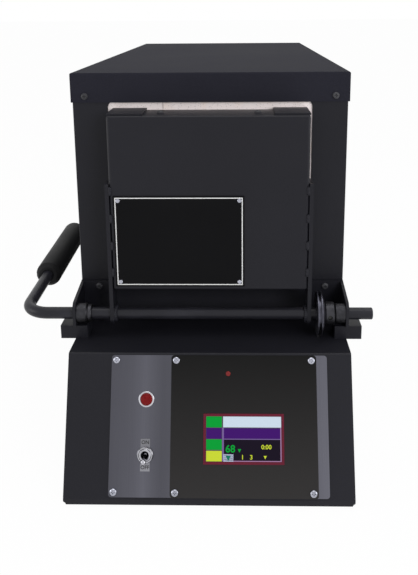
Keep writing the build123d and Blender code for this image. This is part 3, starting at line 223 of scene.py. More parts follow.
class Finish(Nodes):
    """One procedural material, built round a Principled shader."""

    def __init__(self, name, **constants):
        self.material = bpy.data.materials.new(name)
        self.material.use_nodes = True
        super().__init__(self.material.node_tree)
        self.shader = self.tree.nodes["Principled BSDF"]
        self.show(**constants)

    def place(self, scale=(1, 1, 1), turn=(0, 0, 0)):
        """Object coordinates, turned and stretched."""
        where = self.node("ShaderNodeTexCoord", out="Object")
        turned = self.node("ShaderNodeMapping", {}, {"Vector": where, "Rotation": turn})
        return self.node("ShaderNodeMapping", {}, {"Vector": turned, "Scale": scale})

    def along(self, axis, start, end):
        """0 to 1 from one place to another along an axis."""
        where = self.node("ShaderNodeTexCoord", out="Object")
        part = self.node("ShaderNodeSeparateXYZ", {}, {"Vector": where}, out=axis)
        return self.node(
            "ShaderNodeMapRange", {}, {"Value": part, "From Min": start, "From Max": end}
        )

    def noise(self, scale, detail=2.0, roughness=0.5, vector=None):
        sockets = {"Scale": scale, "Detail": detail, "Roughness": roughness}
        sockets["Vector"] = vector or self.place()
        return self.node("ShaderNodeTexNoise", {}, sockets)

    def cells(self, scale):
        return self.node("ShaderNodeTexVoronoi", {}, {"Vector": self.place(), "Scale": scale})

    def mix(self, share, first, second, blend="MIX"):
        """Mixes two colours."""
        settings = {"data_type": "RGBA", "blend_type": blend}
        return self.node("ShaderNodeMix", settings, {0: share, 6: first, 7: second}, out=2)

    def bump(self, height, strength, distance, below=None):
        """A bump, on top of another one where that is given."""
        sockets = {"Height": height, "Strength": strength, "Distance": distance}
        if below:
            sockets["Normal"] = below
        return self.node("ShaderNodeBump", {}, sockets)

    def show(self, **inputs):
        """Feeds the shader's inputs and gives back the material."""
        for key, value in inputs.items():
            self.feed(self.shader.inputs[key.replace("_", " ")], value)
        return self.material


def len_of(value):
    """How many numbers a colour or vector holds, and 0 for a plain number."""
    return len(value) if hasattr(value, "__len__") else 0


# Finishes
#
# A noise is about a half on average, so each finish takes about half of what its noises
# add off its roughness.


def colours():
    return bpy.context.scene.kiln_colours


def sizes():
    return bpy.context.scene.kiln_sizes


def shade(base, factor):
    """The same colour, lighter or darker."""
    return tuple(min(1.0, part * factor) for part in base)


def powder_coat(name, base, roughness=0.43, shine=0.18):
    """Baked powder coat: a fine orange peel, slight clouding and a little dust."""
    finish = Finish(name, Specular_IOR_Level=shine, Metallic=0.0)
    clouds = finish.noise(6.0, 3.0)
    grain = finish.noise(1900.0, 1.0)
    peel = finish.noise(420.0, 2.0)
    specks = finish.noise(3100.0, 0.0).above(0.69, 0.03)
    body = finish.mix(clouds.above(0.5, 0.3), shade(base, 0.88), shade(base, 1.12))
    body = finish.mix(specks * 0.35, body, shade(base, 2.6))
    rough = clouds * 0.10 + grain * 0.08 + (roughness - 0.09)
    low = finish.bump(peel, 0.22, 0.0004)
    return finish.show(
        Base_Color=body, Roughness=rough, Normal=finish.bump(grain, 0.30, 0.00016, low)
    )


# Painted reflections: lighter and darker stretches of the control plate from left to right: place
# and grey
PLATE_REFLECTION_SWEEP = ((0.0, 0.34), (0.10, 0.42), (0.16, 0.60), (0.24, 0.36), (0.85, 0.50), (1.0, 0.78))


def brushed_steel(name, base, turn=(0, 0, 0), roughness=0.30, metallic=1.0, span=None):
    """Sheet brushed along X after the turn, with painted reflection streaks, and over a span of X,
    if given, the plate's painted lighter and darker stretches.
    """
    finish = Finish(name)
    lines = finish.noise(1.0, 3.0, 0.6, finish.place((14, 2600, 2600), turn))
    # painted reflection: soft lighter and darker streaks across the sheet
    reflection_bands = finish.noise(1.0, 1.0, 0.5, finish.place((2.5, 26, 2.5), turn))
    rubs = finish.noise(24.0, 4.0)
    tone = finish.mix(reflection_bands.above(0.5, 0.16), shade(base, 0.70), shade(base, 1.18))
    if span:
        # painted reflection: the plate's lighter and darker stretches along X
        greys = [(place, (grey, grey, grey)) for place, grey in PLATE_REFLECTION_SWEEP]
        reflection_sweep = finish.node("ShaderNodeValToRGB", {"stops": greys}, {0: finish.along("X", *span)})
        tone = finish.mix(0.5, tone, finish.mix(1.0, reflection_sweep, shade(base, 3.2), "MULTIPLY"))
    tone = finish.mix(lines * 0.5, tone, shade(base, 0.66))
    return finish.show(
        Base_Color=tone,
        Metallic=rubs * 0.1 + (metallic - 0.08),
        Roughness=lines * 0.14 + rubs * 0.10 + (roughness - 0.11),
        Normal=finish.bump(lines, 0.16, 0.0001),
    )


def plated(name, base, roughness=0.16):
    """Bright plating with fine polishing marks and a little tarnish."""
    finish = Finish(name)
    marks = finish.noise(900.0, 3.0)
    tarnish = finish.noise(130.0, 3.0)
    tone = finish.mix(tarnish.above(0.55, 0.2), base, shade(base, 0.72))
    return finish.show(
        Base_Color=tone,
        Metallic=1.0,
        Roughness=marks * 0.10 + tarnish * 0.08 + (roughness - 0.09),
        Normal=finish.bump(marks, 0.05, 0.0001),
    )


def turned_steel(name, base, axis_at, roughness=0.34):
    """Steel turned on a lathe: fine rings round an axis along X."""
    finish = Finish(name)
    where = finish.node("ShaderNodeTexCoord", out="Object")
    centred = finish.node(
        "ShaderNodeMapping", {}, {"Vector": where, "Location": (0, -axis_at[1], -axis_at[2])}
    )
    depth = finish.node("ShaderNodeSeparateXYZ", {}, {"Vector": centred}, out="Y")
    height = Wire(finish, depth.socket.node.outputs["Z"])
    radius = (depth * depth + height * height) ** 0.5
    rings = finish.maths("SINE", radius * 9000.0)
    stains = finish.noise(160.0, 4.0)
    tone = finish.mix(stains.above(0.52, 0.2), base, shade(base, 0.6))
    return finish.show(
        Base_Color=tone,
        Metallic=0.92,
        Roughness=stains * 0.18 + (roughness - 0.08),
        Normal=finish.bump(rings * 0.5 + stains, 0.14, 0.0001),
    )


def bar_paint(name, base):
    """Satin black on bar stock, rubbed a little brighter where it is handled."""
    finish = Finish(name, Specular_IOR_Level=0.22)
    grain = finish.noise(1200.0, 2.0)
    rubs = finish.noise(36.0, 4.0, 0.6, finish.place((0.35, 1, 1)))
    tone = finish.mix(rubs.above(0.58, 0.14), base, shade(base, 1.7))
    return finish.show(
        Base_Color=tone,
        Roughness=rubs * 0.12 + grain * 0.08 + 0.26,
        Normal=finish.bump(grain, 0.16, 0.00012),
    )


def rubber(name, base):
    """Moulded rubber with a fine matt grain and faint handling marks."""
    finish = Finish(name, Specular_IOR_Level=0.10)
    grain = finish.noise(1500.0, 2.0)
    marks = finish.noise(45.0, 4.0)
    tone = finish.mix(marks.above(0.55, 0.15), base, shade(base, 1.35))
    return finish.show(
        Base_Color=tone,
        Roughness=marks * 0.16 + grain * 0.06 + 0.42,
        Normal=finish.bump(grain, 0.25, 0.00015),
    )


def moulded_plastic(name, base, roughness=0.4):
    """Moulded plastic with a spark-eroded grain."""
    finish = Finish(name, Specular_IOR_Level=0.18)
    grain = finish.noise(1700.0, 1.0)
    flow = finish.noise(30.0, 3.0)
    tone = finish.mix(flow, shade(base, 0.85), shade(base, 1.15))
    return finish.show(
        Base_Color=tone,
        Roughness=grain * 0.1 + flow * 0.08 + (roughness - 0.09),
        Normal=finish.bump(grain, 0.2, 0.0001),
    )


def firebrick(name, base):
    """Soft insulating brick: sawn faces full of pores darkened with painted shade, with iron specks
    and warm clouds.
    """
    finish = Finish(name, Specular_IOR_Level=0.15)
    warp = finish.noise(55.0, 3.0)
    clouds = finish.noise(16.0, 4.0)
    pores = finish.cells(520.0).above(0.20, 0.12)
    fine_pores = finish.cells(1500.0).above(0.24, 0.16)
    saw = finish.noise(1.0, 2.0, 0.5, finish.place((60, 60, 900)))
    specks = finish.cells(230.0).above(0.055, 0.012)
    body = finish.mix(clouds.above(0.5, 0.25), shade(base, 0.93), shade(base, 1.04))
    body = finish.mix(warp.above(0.62, 0.12) * 0.6, body, (0.84, 0.70, 0.62))
    # painted shade: the pores darker than the brick round them
    body = finish.mix(1 - pores, body, shade(base, 0.62))
    body = finish.mix(1 - specks, body, (0.30, 0.17, 0.10))
    height = pores * 0.6 + fine_pores * 0.3 + saw * 0.3
    return finish.show(
        Base_Color=body,
        Roughness=fine_pores * 0.08 + 0.86,
        Normal=finish.bump(height, 0.45, 0.0006),
    )


def fibre_blanket(name):
    """Ceramic fibre: white, matted and soft."""
    finish = Finish(name, Specular_IOR_Level=0.1, Sheen_Weight=0.3)
    warp = finish.noise(60.0, 3.0)
    strands = finish.noise(1.0, 5.0, 0.7, finish.place((500, 90, 160), (0.3, 0.5, 0.4)))
    tone = finish.mix(warp, (0.90, 0.89, 0.86), (0.78, 0.77, 0.74))
    return finish.show(
        Base_Color=tone,
        Roughness=strands * 0.1 + 0.85,
        Normal=finish.bump(strands + warp, 0.6, 0.002),
    )


def heating_wire(name):
    """Resistance wire with its grey and brown oxide skin."""
    finish = Finish(name)
    scale = finish.noise(420.0, 4.0)
    heat = finish.noise(22.0, 2.0)
    tone = finish.mix(scale, (0.11, 0.10, 0.10), (0.25, 0.21, 0.18))
    tone = finish.mix(heat.above(0.55, 0.12), tone, (0.20, 0.13, 0.09))
    return finish.show(
        Base_Color=tone,
        Metallic=scale * 0.3 + 0.4,
        Roughness=scale * 0.2 + 0.5,
        Normal=finish.bump(scale, 0.3, 0.0002),
    )


def porcelain(name, base=(0.83, 0.80, 0.74)):
    """Glazed or fired white ceramic with small specks."""
    finish = Finish(name, Coat_Roughness=0.08)
    clouds = finish.noise(40.0, 3.0)
    specks = finish.cells(700.0).above(0.06, 0.02)
    tone = finish.mix(clouds, base, shade(base, 0.9))
    tone = finish.mix(1 - specks, tone, (0.35, 0.28, 0.22))
    return finish.show(
        Base_Color=tone,
        Coat_Weight=clouds * 0.3 + 0.4,
        Roughness=clouds * 0.1 + 0.28,
        Normal=finish.bump(clouds, 0.1, 0.0004),
    )


def faceplate_print(name, base, reflection_fade=None, shine=0.17):
    """Satin black overlay with a screen-print texture; over a span of Z it gets a painted
    reflection, lighter at the bottom and darker upwards.
    """
    finish = Finish(name, Specular_IOR_Level=shine)
    weave = finish.noise(2400.0, 1.0)
    haze = finish.noise(14.0, 4.0)
    tone = finish.mix(haze, shade(base, 0.85), shade(base, 1.2))
    if reflection_fade:
        # painted reflection: lighter towards the bottom, darker towards the top
        tone = finish.mix(finish.along("Z", *reflection_fade), shade(base, 2.7), shade(base, 0.15))
    return finish.show(
        Base_Color=tone,
        Roughness=haze * 0.10 + weave * 0.05 + 0.24,
        Normal=finish.bump(weave, 0.10, 0.00008),
    )


def display_glass(name):
    """Dark touch surface with faint finger marks."""
    finish = Finish(name, Specular_IOR_Level=0.6, Coat_Roughness=0.03)
    marks = finish.noise(70.0, 4.0)
    tone = finish.mix(marks, (0.010, 0.008, 0.016), (0.020, 0.013, 0.028))
    return finish.show(Base_Color=tone, Coat_Weight=0.6, Roughness=marks * 0.15 + 0.08)


def display_glow(name, power=0.82):
    """Lit parts of the display: each face's own colour, with the display's fine pixel rows."""
    finish = Finish(name, Specular_IOR_Level=0.08, Emission_Strength=power)
    tint = finish.node("ShaderNodeAttribute", {"attribute_name": "tint"}, out="Color")
    rows = finish.noise(1.0, 0.0, 0.5, finish.place((3500, 3500, 3500)))
    lit = finish.mix(rows * 0.25, tint, (0.0, 0.0, 0.0))
    under = finish.mix(0.85, tint, (0.0, 0.0, 0.0))
    return finish.show(Base_Color=under, Emission_Color=lit, Roughness=rows * 0.05 + 0.22)


def lamp_lens(name, base):
    """Red moulded lens of an unlit lamp, with a slight painted glow that stands for the light in
    its depth.
    """
    finish = Finish(name, Coat_Roughness=0.06, Emission_Strength=0.10, Specular_IOR_Level=0.12)
    depth = finish.noise(260.0, 2.0)
    tone = finish.mix(depth, base, shade(base, 1.7))
    return finish.show(
        Base_Color=tone,
        Emission_Color=finish.mix(depth, shade(base, 1.5), shade(base, 3.0)),
        Coat_Weight=0.04,
        Roughness=depth * 0.1 + 0.22,
    )


def circuit_board(name):
    """Green board with lighter copper runs."""
    finish = Finish(name, Coat_Roughness=0.2)
    runs = finish.node(
        "ShaderNodeTexVoronoi",
        {"distance": "MANHATTAN", "feature": "DISTANCE_TO_EDGE"},
        {"Vector": finish.place(), "Scale": 260.0},
    ).above(0.05, 0.02)
    tone = finish.mix(runs, (0.10, 0.26, 0.10), (0.012, 0.08, 0.03))
    return finish.show(Base_Color=tone, Roughness=runs * 0.1 + 0.35, Coat_Weight=0.4)


def printed_ink(name, base):
    """Printed ink with slightly uneven cover."""
    finish = Finish(name)
    cover = finish.noise(800.0, 2.0)
    tone = finish.mix(cover.above(0.66, 0.1), base, shade(base, 0.7))
    return finish.show(Base_Color=tone, Roughness=cover * 0.1 + 0.4)


# Shapes


# Points of a new shape, and of a CAD mesh or a curve's tube, are merged when nearer than this
MERGE = 1e-7
MERGE_LOOSE = 1e-6


def solids(node, basis=UPRIGHT):
    """The low and high corners of each separate solid of a CAD node, along a basis."""
    copy = bmesh.new()
    copy.from_mesh(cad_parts[node].data)
    bmesh.ops.remove_doubles(copy, verts=copy.verts, dist=MERGE_LOOSE)
    turned = basis.transposed()
    unseen = set(copy.verts)
    boxes = []
    while unseen:
        group = [unseen.pop()]
        corners = []
        while group:
            vertex = group.pop()
            corners.append(turned @ vertex.co)
            near = {edge.other_vert(vertex) for edge in vertex.link_edges} & unseen
            unseen -= near
            group.extend(near)
        low = Vector(min(point[axis] for point in corners) for axis in range(3))
        high = Vector(max(point[axis] for point in corners) for axis in range(3))
        boxes.append((low, high))
    copy.free()
    return sorted(boxes, key=lambda box: [round(place, 5) for place in box[0]])


def middle(box):
    return (box[0] + box[1]) / 2


def middle_line(box, basis, height=0):
    """A point at a height of a basis, on the line up through the middle of a box."""
    centre = middle(box)
    return basis @ Vector((centre.x, centre.y, height))


def revolve(shape, steps):
    """Spins all of an open shape once round local Z."""
    bmesh.ops.spin(
        shape,
        geom=shape.verts[:] + shape.edges[:],
        cent=(0, 0, 0),
        axis=(0, 0, 1),
        angle=2 * pi,
        steps=steps,
        use_merge=True,
    )
    bmesh.ops.remove_doubles(shape, verts=shape.verts, dist=MERGE)


def lathe(profile, steps):
    """A profile of (radius, height) points turned round local Z."""
    shape = bmesh.new()
    row = [shape.verts.new((radius, 0, height)) for radius, height in profile]
    for pair in zip(row, row[1:]):
        shape.edges.new(pair)
    revolve(shape, steps)
    return shape


RECESS_TAPER = 0.62


def drive_in(shape, top, span, depth):
    """Sinks a cross recess into the open middle of a screw head."""
    rim = [edge for edge in shape.edges if edge.is_boundary]
    arm, slot = span / 2, span / 8
    cross = []
    for quarter in range(4):
        turn = Matrix.Rotation(quarter * pi / 2, 3, "Z")
        for place in ((arm, -slot, top), (arm, slot, top), (slot, slot, top)):
            cross.append(shape.verts.new(turn @ Vector(place)))
    loop = [shape.edges.new(pair) for pair in zip(cross, cross[1:] + cross[:1])]
    bmesh.ops.triangle_fill(shape, use_beauty=True, edges=rim + loop, normal=(0, 0, 1))
    walls = bmesh.ops.extrude_edge_only(shape, edges=loop)["geom"]
    foot = [item for item in walls if isinstance(item, bmesh.types.BMVert)]
    bmesh.ops.translate(shape, verts=foot, vec=(0, 0, -depth))
    bmesh.ops.scale(shape, verts=foot, vec=(RECESS_TAPER, RECESS_TAPER, 1))
    floor = [item for item in walls if isinstance(item, bmesh.types.BMEdge)]
    bmesh.ops.edgeloop_fill(shape, edges=floor)


SHANK_RADIUS = 2.0 * MM


def screw_shape(box, rise, recessed=True):
    """A pan-head screw or a rivet whose head and shank fill the box of its CAD solid."""
    low, high = box
    radius = (high.x - low.x) / 2
    seat = high.z - rise
    shank = min(SHANK_RADIUS, radius * 0.68)
    open_radius = sizes().recess_span * 0.58 if recessed else 0
    profile = [
        (open_radius, high.z),
        (radius * 0.62, high.z - rise * 0.04),
        (radius * 0.82, high.z - rise * 0.18),
        (radius * 0.95, high.z - rise * 0.45),
        (radius, high.z - rise * 0.75),
        (radius * 0.985, seat),
        (shank, seat),
        (shank, low.z + shank * 0.4),
        (shank * 0.6, low.z),
        (0, low.z),
    ]
    shape = lathe(profile, 28)
    if recessed:
        drive_in(shape, high.z, sizes().recess_span, sizes().recess_depth)
    bmesh.ops.translate(shape, verts=shape.verts, vec=middle_line(box, UPRIGHT))
    return shape


def placed(shape, basis, origin=(0, 0, 0)):
    """The same shape, turned by a basis and then moved."""
    matrix = Matrix.Translation(origin) @ basis.to_4x4()
    bmesh.ops.transform(shape, matrix=matrix, verts=shape.verts)
    return shape


def join(target, shape, basis=UPRIGHT, origin=(0, 0, 0)):
    """Adds one shape to another, turned by a basis and moved."""
    holder = bpy.data.meshes.new("part")
    placed(shape, basis, origin).to_mesh(holder)
    shape.free()
    target.from_mesh(holder)
    bpy.data.meshes.remove(holder)


def rectangle(left, bottom, right, top):
    return ((left, bottom), (right, bottom), (right, top), (left, top))


def sheet_of(points, low, high):
    """A thin flat piece with a straight-sided outline, between two heights."""
    shape = bmesh.new()
    face = shape.faces.new([shape.verts.new((*point, low)) for point in points])
    raised = bmesh.ops.extrude_face_region(shape, geom=[face], use_keep_orig=True)["geom"]
    top = [item for item in raised if isinstance(item, bmesh.types.BMVert)]
    bmesh.ops.translate(shape, verts=top, vec=(0, 0, high - low))
    return shape


def bead(span, radius, ripple):
    """A run of weld along local Z with rounded ends and a ripple at each step."""
    rows = max(6, int(span / ripple) * 4)
    profile = [(0, 0)]
    for row in range(1, rows):
        along = row / rows
        swell = abs(sin(pi * along * span / ripple))
        end = min(1.0, 6 * min(along, 1 - along)) ** 0.5
        profile.append((radius * end * (0.84 + 0.16 * swell), along * span))
    profile.append((0, span))
    return lathe(profile, 12)


def ring_bead(ring, radius, ripple):
    """A weld that runs all the way round local Z, rippled."""
    shape = bmesh.new()
    across = Matrix.Translation((ring, 0, 0)) @ Matrix.Rotation(pi / 2, 4, "X")
    bmesh.ops.create_circle(shape, segments=10, radius=radius, matrix=across)
    revolve(shape, 96)
    waves = round(2 * pi * ring / ripple)
    for vertex in shape.verts:
        around = atan2(vertex.co.y, vertex.co.x)
        core = Vector((ring * cos(around), ring * sin(around), 0))
        swell = 0.86 + 0.2 * abs(sin(around * waves / 2))
        vertex.co = core + (vertex.co - core) * swell
    return shape


def shape_of(data, merge):
    """The mesh of a curve or a text, which is then removed."""
    holder = bpy.data.objects.new(data.name, data)
    bpy.context.scene.collection.objects.link(holder)
    bpy.context.view_layer.update()
    mesh = bpy.data.meshes.new_from_object(holder)
    shape = bmesh.new()
    shape.from_mesh(mesh)
    bmesh.ops.remove_doubles(shape, verts=shape.verts, dist=merge)
    bpy.data.objects.remove(holder)
    bpy.data.curves.remove(data)
    bpy.data.meshes.remove(mesh)
    return shape


# Blender's text size for capitals one unit high, and how much bolder its outlines are made
TEXT_SIZE = 1.38
TEXT_BOLDER = 0.03


def lettering(words, height, thickness):
    """Flat letters centred on the origin, as a mesh in local X and Y."""
    text = bpy.data.curves.new("letters", "FONT")
    text.body = words
    text.size = height * TEXT_SIZE
    text.align_x = "CENTER"
    text.align_y = "CENTER"
    text.extrude = thickness / 2
    text.offset = height * TEXT_BOLDER
    text.resolution_u = 3
    return shape_of(text, MERGE)


def wire_shape(points, radius):
    """A round wire through some points, with its ends closed."""
    path = bpy.data.curves.new("wire", "CURVE")
    path.dimensions = "3D"
    path.bevel_depth = radius
    path.bevel_resolution = 1
    path.use_fill_caps = True
    spline = path.splines.new("POLY")
    spline.points.add(len(points) - 1)
    for point, place in zip(spline.points, points):
        point.co = (*place, 1)
    return shape_of(path, MERGE_LOOSE)


def put(shape, name, material, body, replaced=(), smooth=30.0):
    """Makes a finished shape an object that rides on a body of the frame."""
    bmesh.ops.recalc_face_normals(shape, faces=shape.faces)
    mesh = bpy.data.meshes.new(name)
    shape.to_mesh(mesh)
    shape.free()
    mesh.materials.append(material)
    piece = bpy.data.objects.new(name, mesh)
    bpy.context.scene.collection.objects.link(piece)
    if smooth:
        mesh.shade_smooth()
        mesh.set_sharp_from_angle(angle=radians(smooth))
    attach(piece, body)
    if replaced:
        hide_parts(*replaced)
    return piece


def dress(material, *nodes):
    """Gives CAD nodes a finish and leaves their shape alone."""
    for name in nodes:
        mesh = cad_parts[name].data
        mesh.materials.clear()
        mesh.materials.append(material)


def fasteners(name, node, basis, rise, material, body, recessed=True):
    """Detailed screws in the places of a CAD node's plain ones, all along one basis."""
    group = bmesh.new()
    for box in solids(node, basis):
        join(group, screw_shape(box, rise, recessed), basis)
    return put(group, name, material, body, (node,))


# Pieces


class PieceOperator:
    """What every operator here shares."""

    bl_options = {"REGISTER", "UNDO"}


class KILN_OT_sheet_metal(PieceOperator, bpy.types.Operator):
    """Powder coat on the case, the cover, the base, the door and the brackets"""

    bl_idname = "kiln.sheet_metal"
    bl_label = "Sheet metal"

    def execute(self, context):
        coat = powder_coat("powder_coat", colours().powder)
        dress(coat, "base_case", "base_floor_pan", "base_rear_panel", "body_case", "rear_panel")
        dress(coat, "front_panel", "left_hinge_bracket", "right_hinge_bracket", "hinge_blocks")
        dress(coat, "left_door_arm", "right_door_arm", "door_shell")
        # painted reflection: the cover gets the same powder coat made lighter, with almost no shine
        # of its own
        lighter = shade(colours().powder, 1.85)
        dress(powder_coat("cover_coat", lighter, roughness=0.5, shine=0.004), "top_cover")
        dress(rubber("foot_rubber", colours().rubber), "base_feet")
        return {"FINISHED"}


class KILN_OT_lining(PieceOperator, bpy.types.Operator):
    """Firebrick lining, fibre blanket and the brick in the door"""

    bl_idname = "kiln.lining"
    bl_label = "Lining"

    def execute(self, context):
        brick = firebrick("firebrick", colours().brick)
        dress(brick, "floor_bricks", "roof_bricks", "rear_bricks", "door_brick")
        dress(brick, "left_wall_bricks", "right_wall_bricks")
        dress(fibre_blanket("fibre_blanket"), "roof_blanket")
        dress(porcelain("alumina", (0.80, 0.74, 0.64)), "thermocouple")
        dress(porcelain("porcelain"), "thermocouple_block", "terminal_blocks")
        return {"FINISHED"}


# Heating coil: outer radius of its turns, distance from the upper groove to the lower one, how
# far the lower tail stands in front of the upper one, and radius of its middle line's bends
COIL_RADIUS = 4.5 * MM
GROOVE_PITCH = 54.0 * MM
TAIL_SPACING = 26.0 * MM
COIL_BEND = 9.0 * MM
POINTS_PER_TURN = 10


# Angles of a quarter turn in six steps
QUARTER = [step / 6 * pi / 2 for step in range(7)]


def corner_arc(corner, before, after, radius):
    """Points of a rounded corner between two straight runs at a right angle."""
    back = (before - corner).normalized()
    ahead = (after - corner).normalized()
    centre = corner + (back + ahead) * radius
    for angle in QUARTER:
        yield centre - ahead * radius * cos(angle) - back * radius * sin(angle)


def coil_line(box):
    """The middle line of one heating coil: up, forward, down, back and down again."""
    low, high = box
    top = high.z - COIL_RADIUS
    back, front = high.y - COIL_RADIUS, low.y + COIL_RADIUS
    drop = COIL_BEND + COIL_RADIUS
    corners = [
        Vector((0, back, top - drop)),
        Vector((0, back, top)),
        Vector((0, front, top)),
        Vector((0, front, top - GROOVE_PITCH)),
        Vector((0, back - TAIL_SPACING, top - GROOVE_PITCH)),
        Vector((0, back - TAIL_SPACING, top - GROOVE_PITCH - drop)),
    ]
    line = [corners[0]]
    for before, corner, after in zip(corners, corners[1:], corners[2:]):
        line.extend(corner_arc(corner, before, after, COIL_BEND))
    return line + [corners[-1]]


def wind(line, wire, pitch, middle_x):
    """Winds a wire round a line that lies in a plane of constant X."""
    reach = COIL_RADIUS - wire / 2
    wound = []
    travelled = 0.0
    step = pitch / POINTS_PER_TURN
    for start, end in zip(line, line[1:]):
        run = end - start
        ahead = run.normalized()
        side = Vector((0, -ahead.z, ahead.y))
        while travelled < run.length:
            angle = 2 * pi * len(wound) / POINTS_PER_TURN
            offset = side * cos(angle) + Vector((1, 0, 0)) * sin(angle)
            wound.append(start + ahead * travelled + offset * reach + Vector((middle_x, 0, 0)))
            travelled += step
        travelled -= run.length
    return wound


class KILN_OT_heating_coils(PieceOperator, bpy.types.Operator):
    """Wound heating coils in the grooves of the side walls"""

    bl_idname = "kiln.heating_coils"
    bl_label = "Heating coils"

    def execute(self, context):
        wire = sizes().coil_wire
        finish = heating_wire("heating_wire")
        for node in ("left_element", "right_element"):
            box = solids(node)[0]
            line = coil_line(box)
            middle_x = middle(box).x
            start, end = (
                Vector((middle_x, place.y, box[0].z + wire)) for place in (line[0], line[-1])
            )
            wound = wind(line, wire, sizes().coil_pitch, middle_x)
            shape = wire_shape([start, *wound, end], wire / 2)
            name = node.replace("element", "heating_coil")
            put(shape, name, finish, "kiln", (node,), 60.0)
        return {"FINISHED"}


# Places of the welds: the stitches from the door's edge and from its front,
# the ring's middle line from the rod's middle, and the ring from the door's edge
STITCH_INSET = 1.2 * MM
STITCH_DEPTH = 0.8 * MM
RING_REACH = 7.3 * MM
RING_INSET = 1.0 * MM


class KILN_OT_door_welds(PieceOperator, bpy.types.Operator):
    """Rippled welds where the arms meet the door and the rod"""

    bl_idname = "kiln.door_welds"
    bl_label = "Door welds"

    stitch_count: bpy.props.IntProperty(name="Stitches", description="Welds per arm", default=4)
    stitch_pitch: length("Stitch pitch", "Distance from one stitch to the next", 29.2)
    stitch_length: length("Stitch length", "Length of one stitch", 9.0)
    end_gap: length("End gap", "Distance of the last stitch from the arm's end", 2.6)
    stitch_radius: length("Stitch radius", "Half the width of a stitch", 2.0)
    ring_radius: length("Ring radius", "Half the width of the weld round the rod", 2.2)

    def execute(self, context):
        # painted highlight: the welds get the arms' powder coat made lighter
        coat = powder_coat("weld_coat_painted_highlight", shade(colours().powder, 1.25), 0.36)
        ripple = sizes().weld_ripple
        rod = middle(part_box("left_bushing"))
        door_low, door_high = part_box("door_shell")
        for side, name in ((-1, "left"), (1, "right")):
            arm_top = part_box(f"{name}_door_arm")[1].z
            edge = side * door_high.x
            shape = bmesh.new()
            for stitch in range(self.stitch_count):
                low_z = arm_top - self.end_gap - self.stitch_length - stitch * self.stitch_pitch
                place = (edge - side * STITCH_INSET, door_low.y + STITCH_DEPTH, low_z)
                join(shape, bead(self.stitch_length, self.stitch_radius, ripple), UPRIGHT, place)
            ring = ring_bead(RING_REACH, self.ring_radius, ripple * 1.3)
            join(shape, ring, FACING_RIGHT, (edge - side * RING_INSET, rod.y, rod.z))
            put(shape, f"{name}_arm_welds", coat, "door", (), 50.0)
        return {"FINISHED"}


# Height of the printed border over the plate, its thickness, and the height of a rivet's head
INK_LIFT = 0.03 * MM
INK_THICKNESS = 0.06 * MM
RIVET_RISE = 0.7 * MM


class KILN_OT_information_plate(PieceOperator, bpy.types.Operator):
    """Bare black plate on the door with its printed border and rivets"""

    bl_idname = "kiln.information_plate"
    bl_label = "Information plate"

    def execute(self, context):
        black = faceplate_print("plate_black", (0.0042, 0.0042, 0.0048), shine=0.05)
        dress(black, "info_plate")
        border = placed(self.border(*solids("info_plate", FACING_FRONT)[0]), FACING_FRONT)
        ink = printed_ink("border_ink", (0.62, 0.62, 0.62))
        put(border, "plate_border", ink, "door")
        fasteners(
            "plate_rivet_heads",
            "plate_rivets",
            FACING_FRONT,
            RIVET_RISE,
            plated("bright_zinc", colours().zinc),
            "door",
            recessed=False,
        )
        return {"FINISHED"}

    def border(self, low, high):
        """A thin frame over the plate, a little inside its edge."""
        inset = sizes().border_inset
        corners = rectangle(low.x + inset, low.y + inset, high.x - inset, high.y - inset)
        lift = high.z + INK_LIFT
        shape = bmesh.new()
        face = shape.faces.new([shape.verts.new((*corner, lift)) for corner in corners])
        shape.normal_update()
        bmesh.ops.inset_region(
            shape,
            faces=[face],
            thickness=sizes().border_width,
            use_boundary=True,
            use_even_offset=True,
        )
        bmesh.ops.delete(shape, geom=[face], context="FACES")
        bmesh.ops.solidify(shape, geom=shape.faces[:], thickness=INK_THICKNESS)
        return shape


class KILN_OT_hinge(PieceOperator, bpy.types.Operator):
    """Rod, bushings, collars, set screw, the grooved cam and its pin"""

    bl_idname = "kiln.hinge"
    bl_label = "Hinge"

    def execute(self, context):
        axis_at = middle(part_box("left_bushing"))
        dress(bar_paint("rod_paint", (0.0125, 0.0125, 0.0165)), "hinge_rod")
        dark = turned_steel("dark_turned_steel", (0.055, 0.055, 0.062), axis_at, 0.42)
        dress(dark, "left_bushing", "right_bushing", "left_collar", "right_collar")
        dress(turned_steel("turned_steel", (0.12, 0.12, 0.15), axis_at), "switch_cam")
        dress(bar_paint("black_oxide", (0.018, 0.018, 0.018)), "set_screw")
        dress(plated("pin_steel", (0.5, 0.5, 0.52), 0.25), "switch_pin")
        return {"FINISHED"}


# Directions of the handle, which slopes up a little to the back: the last one is along it
HANDLE_RISE = radians(2.5)
ALONG_HANDLE = Matrix(
    ((1, 0, 0), (0, sin(HANDLE_RISE), cos(HANDLE_RISE)), (0, -cos(HANDLE_RISE), sin(HANDLE_RISE)))
)


# Outline of the grip: a share of its radius with a height, first in millimetres from the
# near end and then as a share of its span
GRIP_NEAR_END = ((0.70, 0.0), (0.735, 0.3), (0.93, 3.6), (0.985, 4.6), (1.0, 6.2))
GRIP_WAIST = ((1.0, 0.3), (0.995, 0.5), (1.0, 0.7))
GRIP_ROUNDING = 5 * MM
GRIP_BORE = 6.45 * MM
GRIP_FLARE = 0.8 * MM
GRIP_FLARE_DEPTH = 0.6 * MM


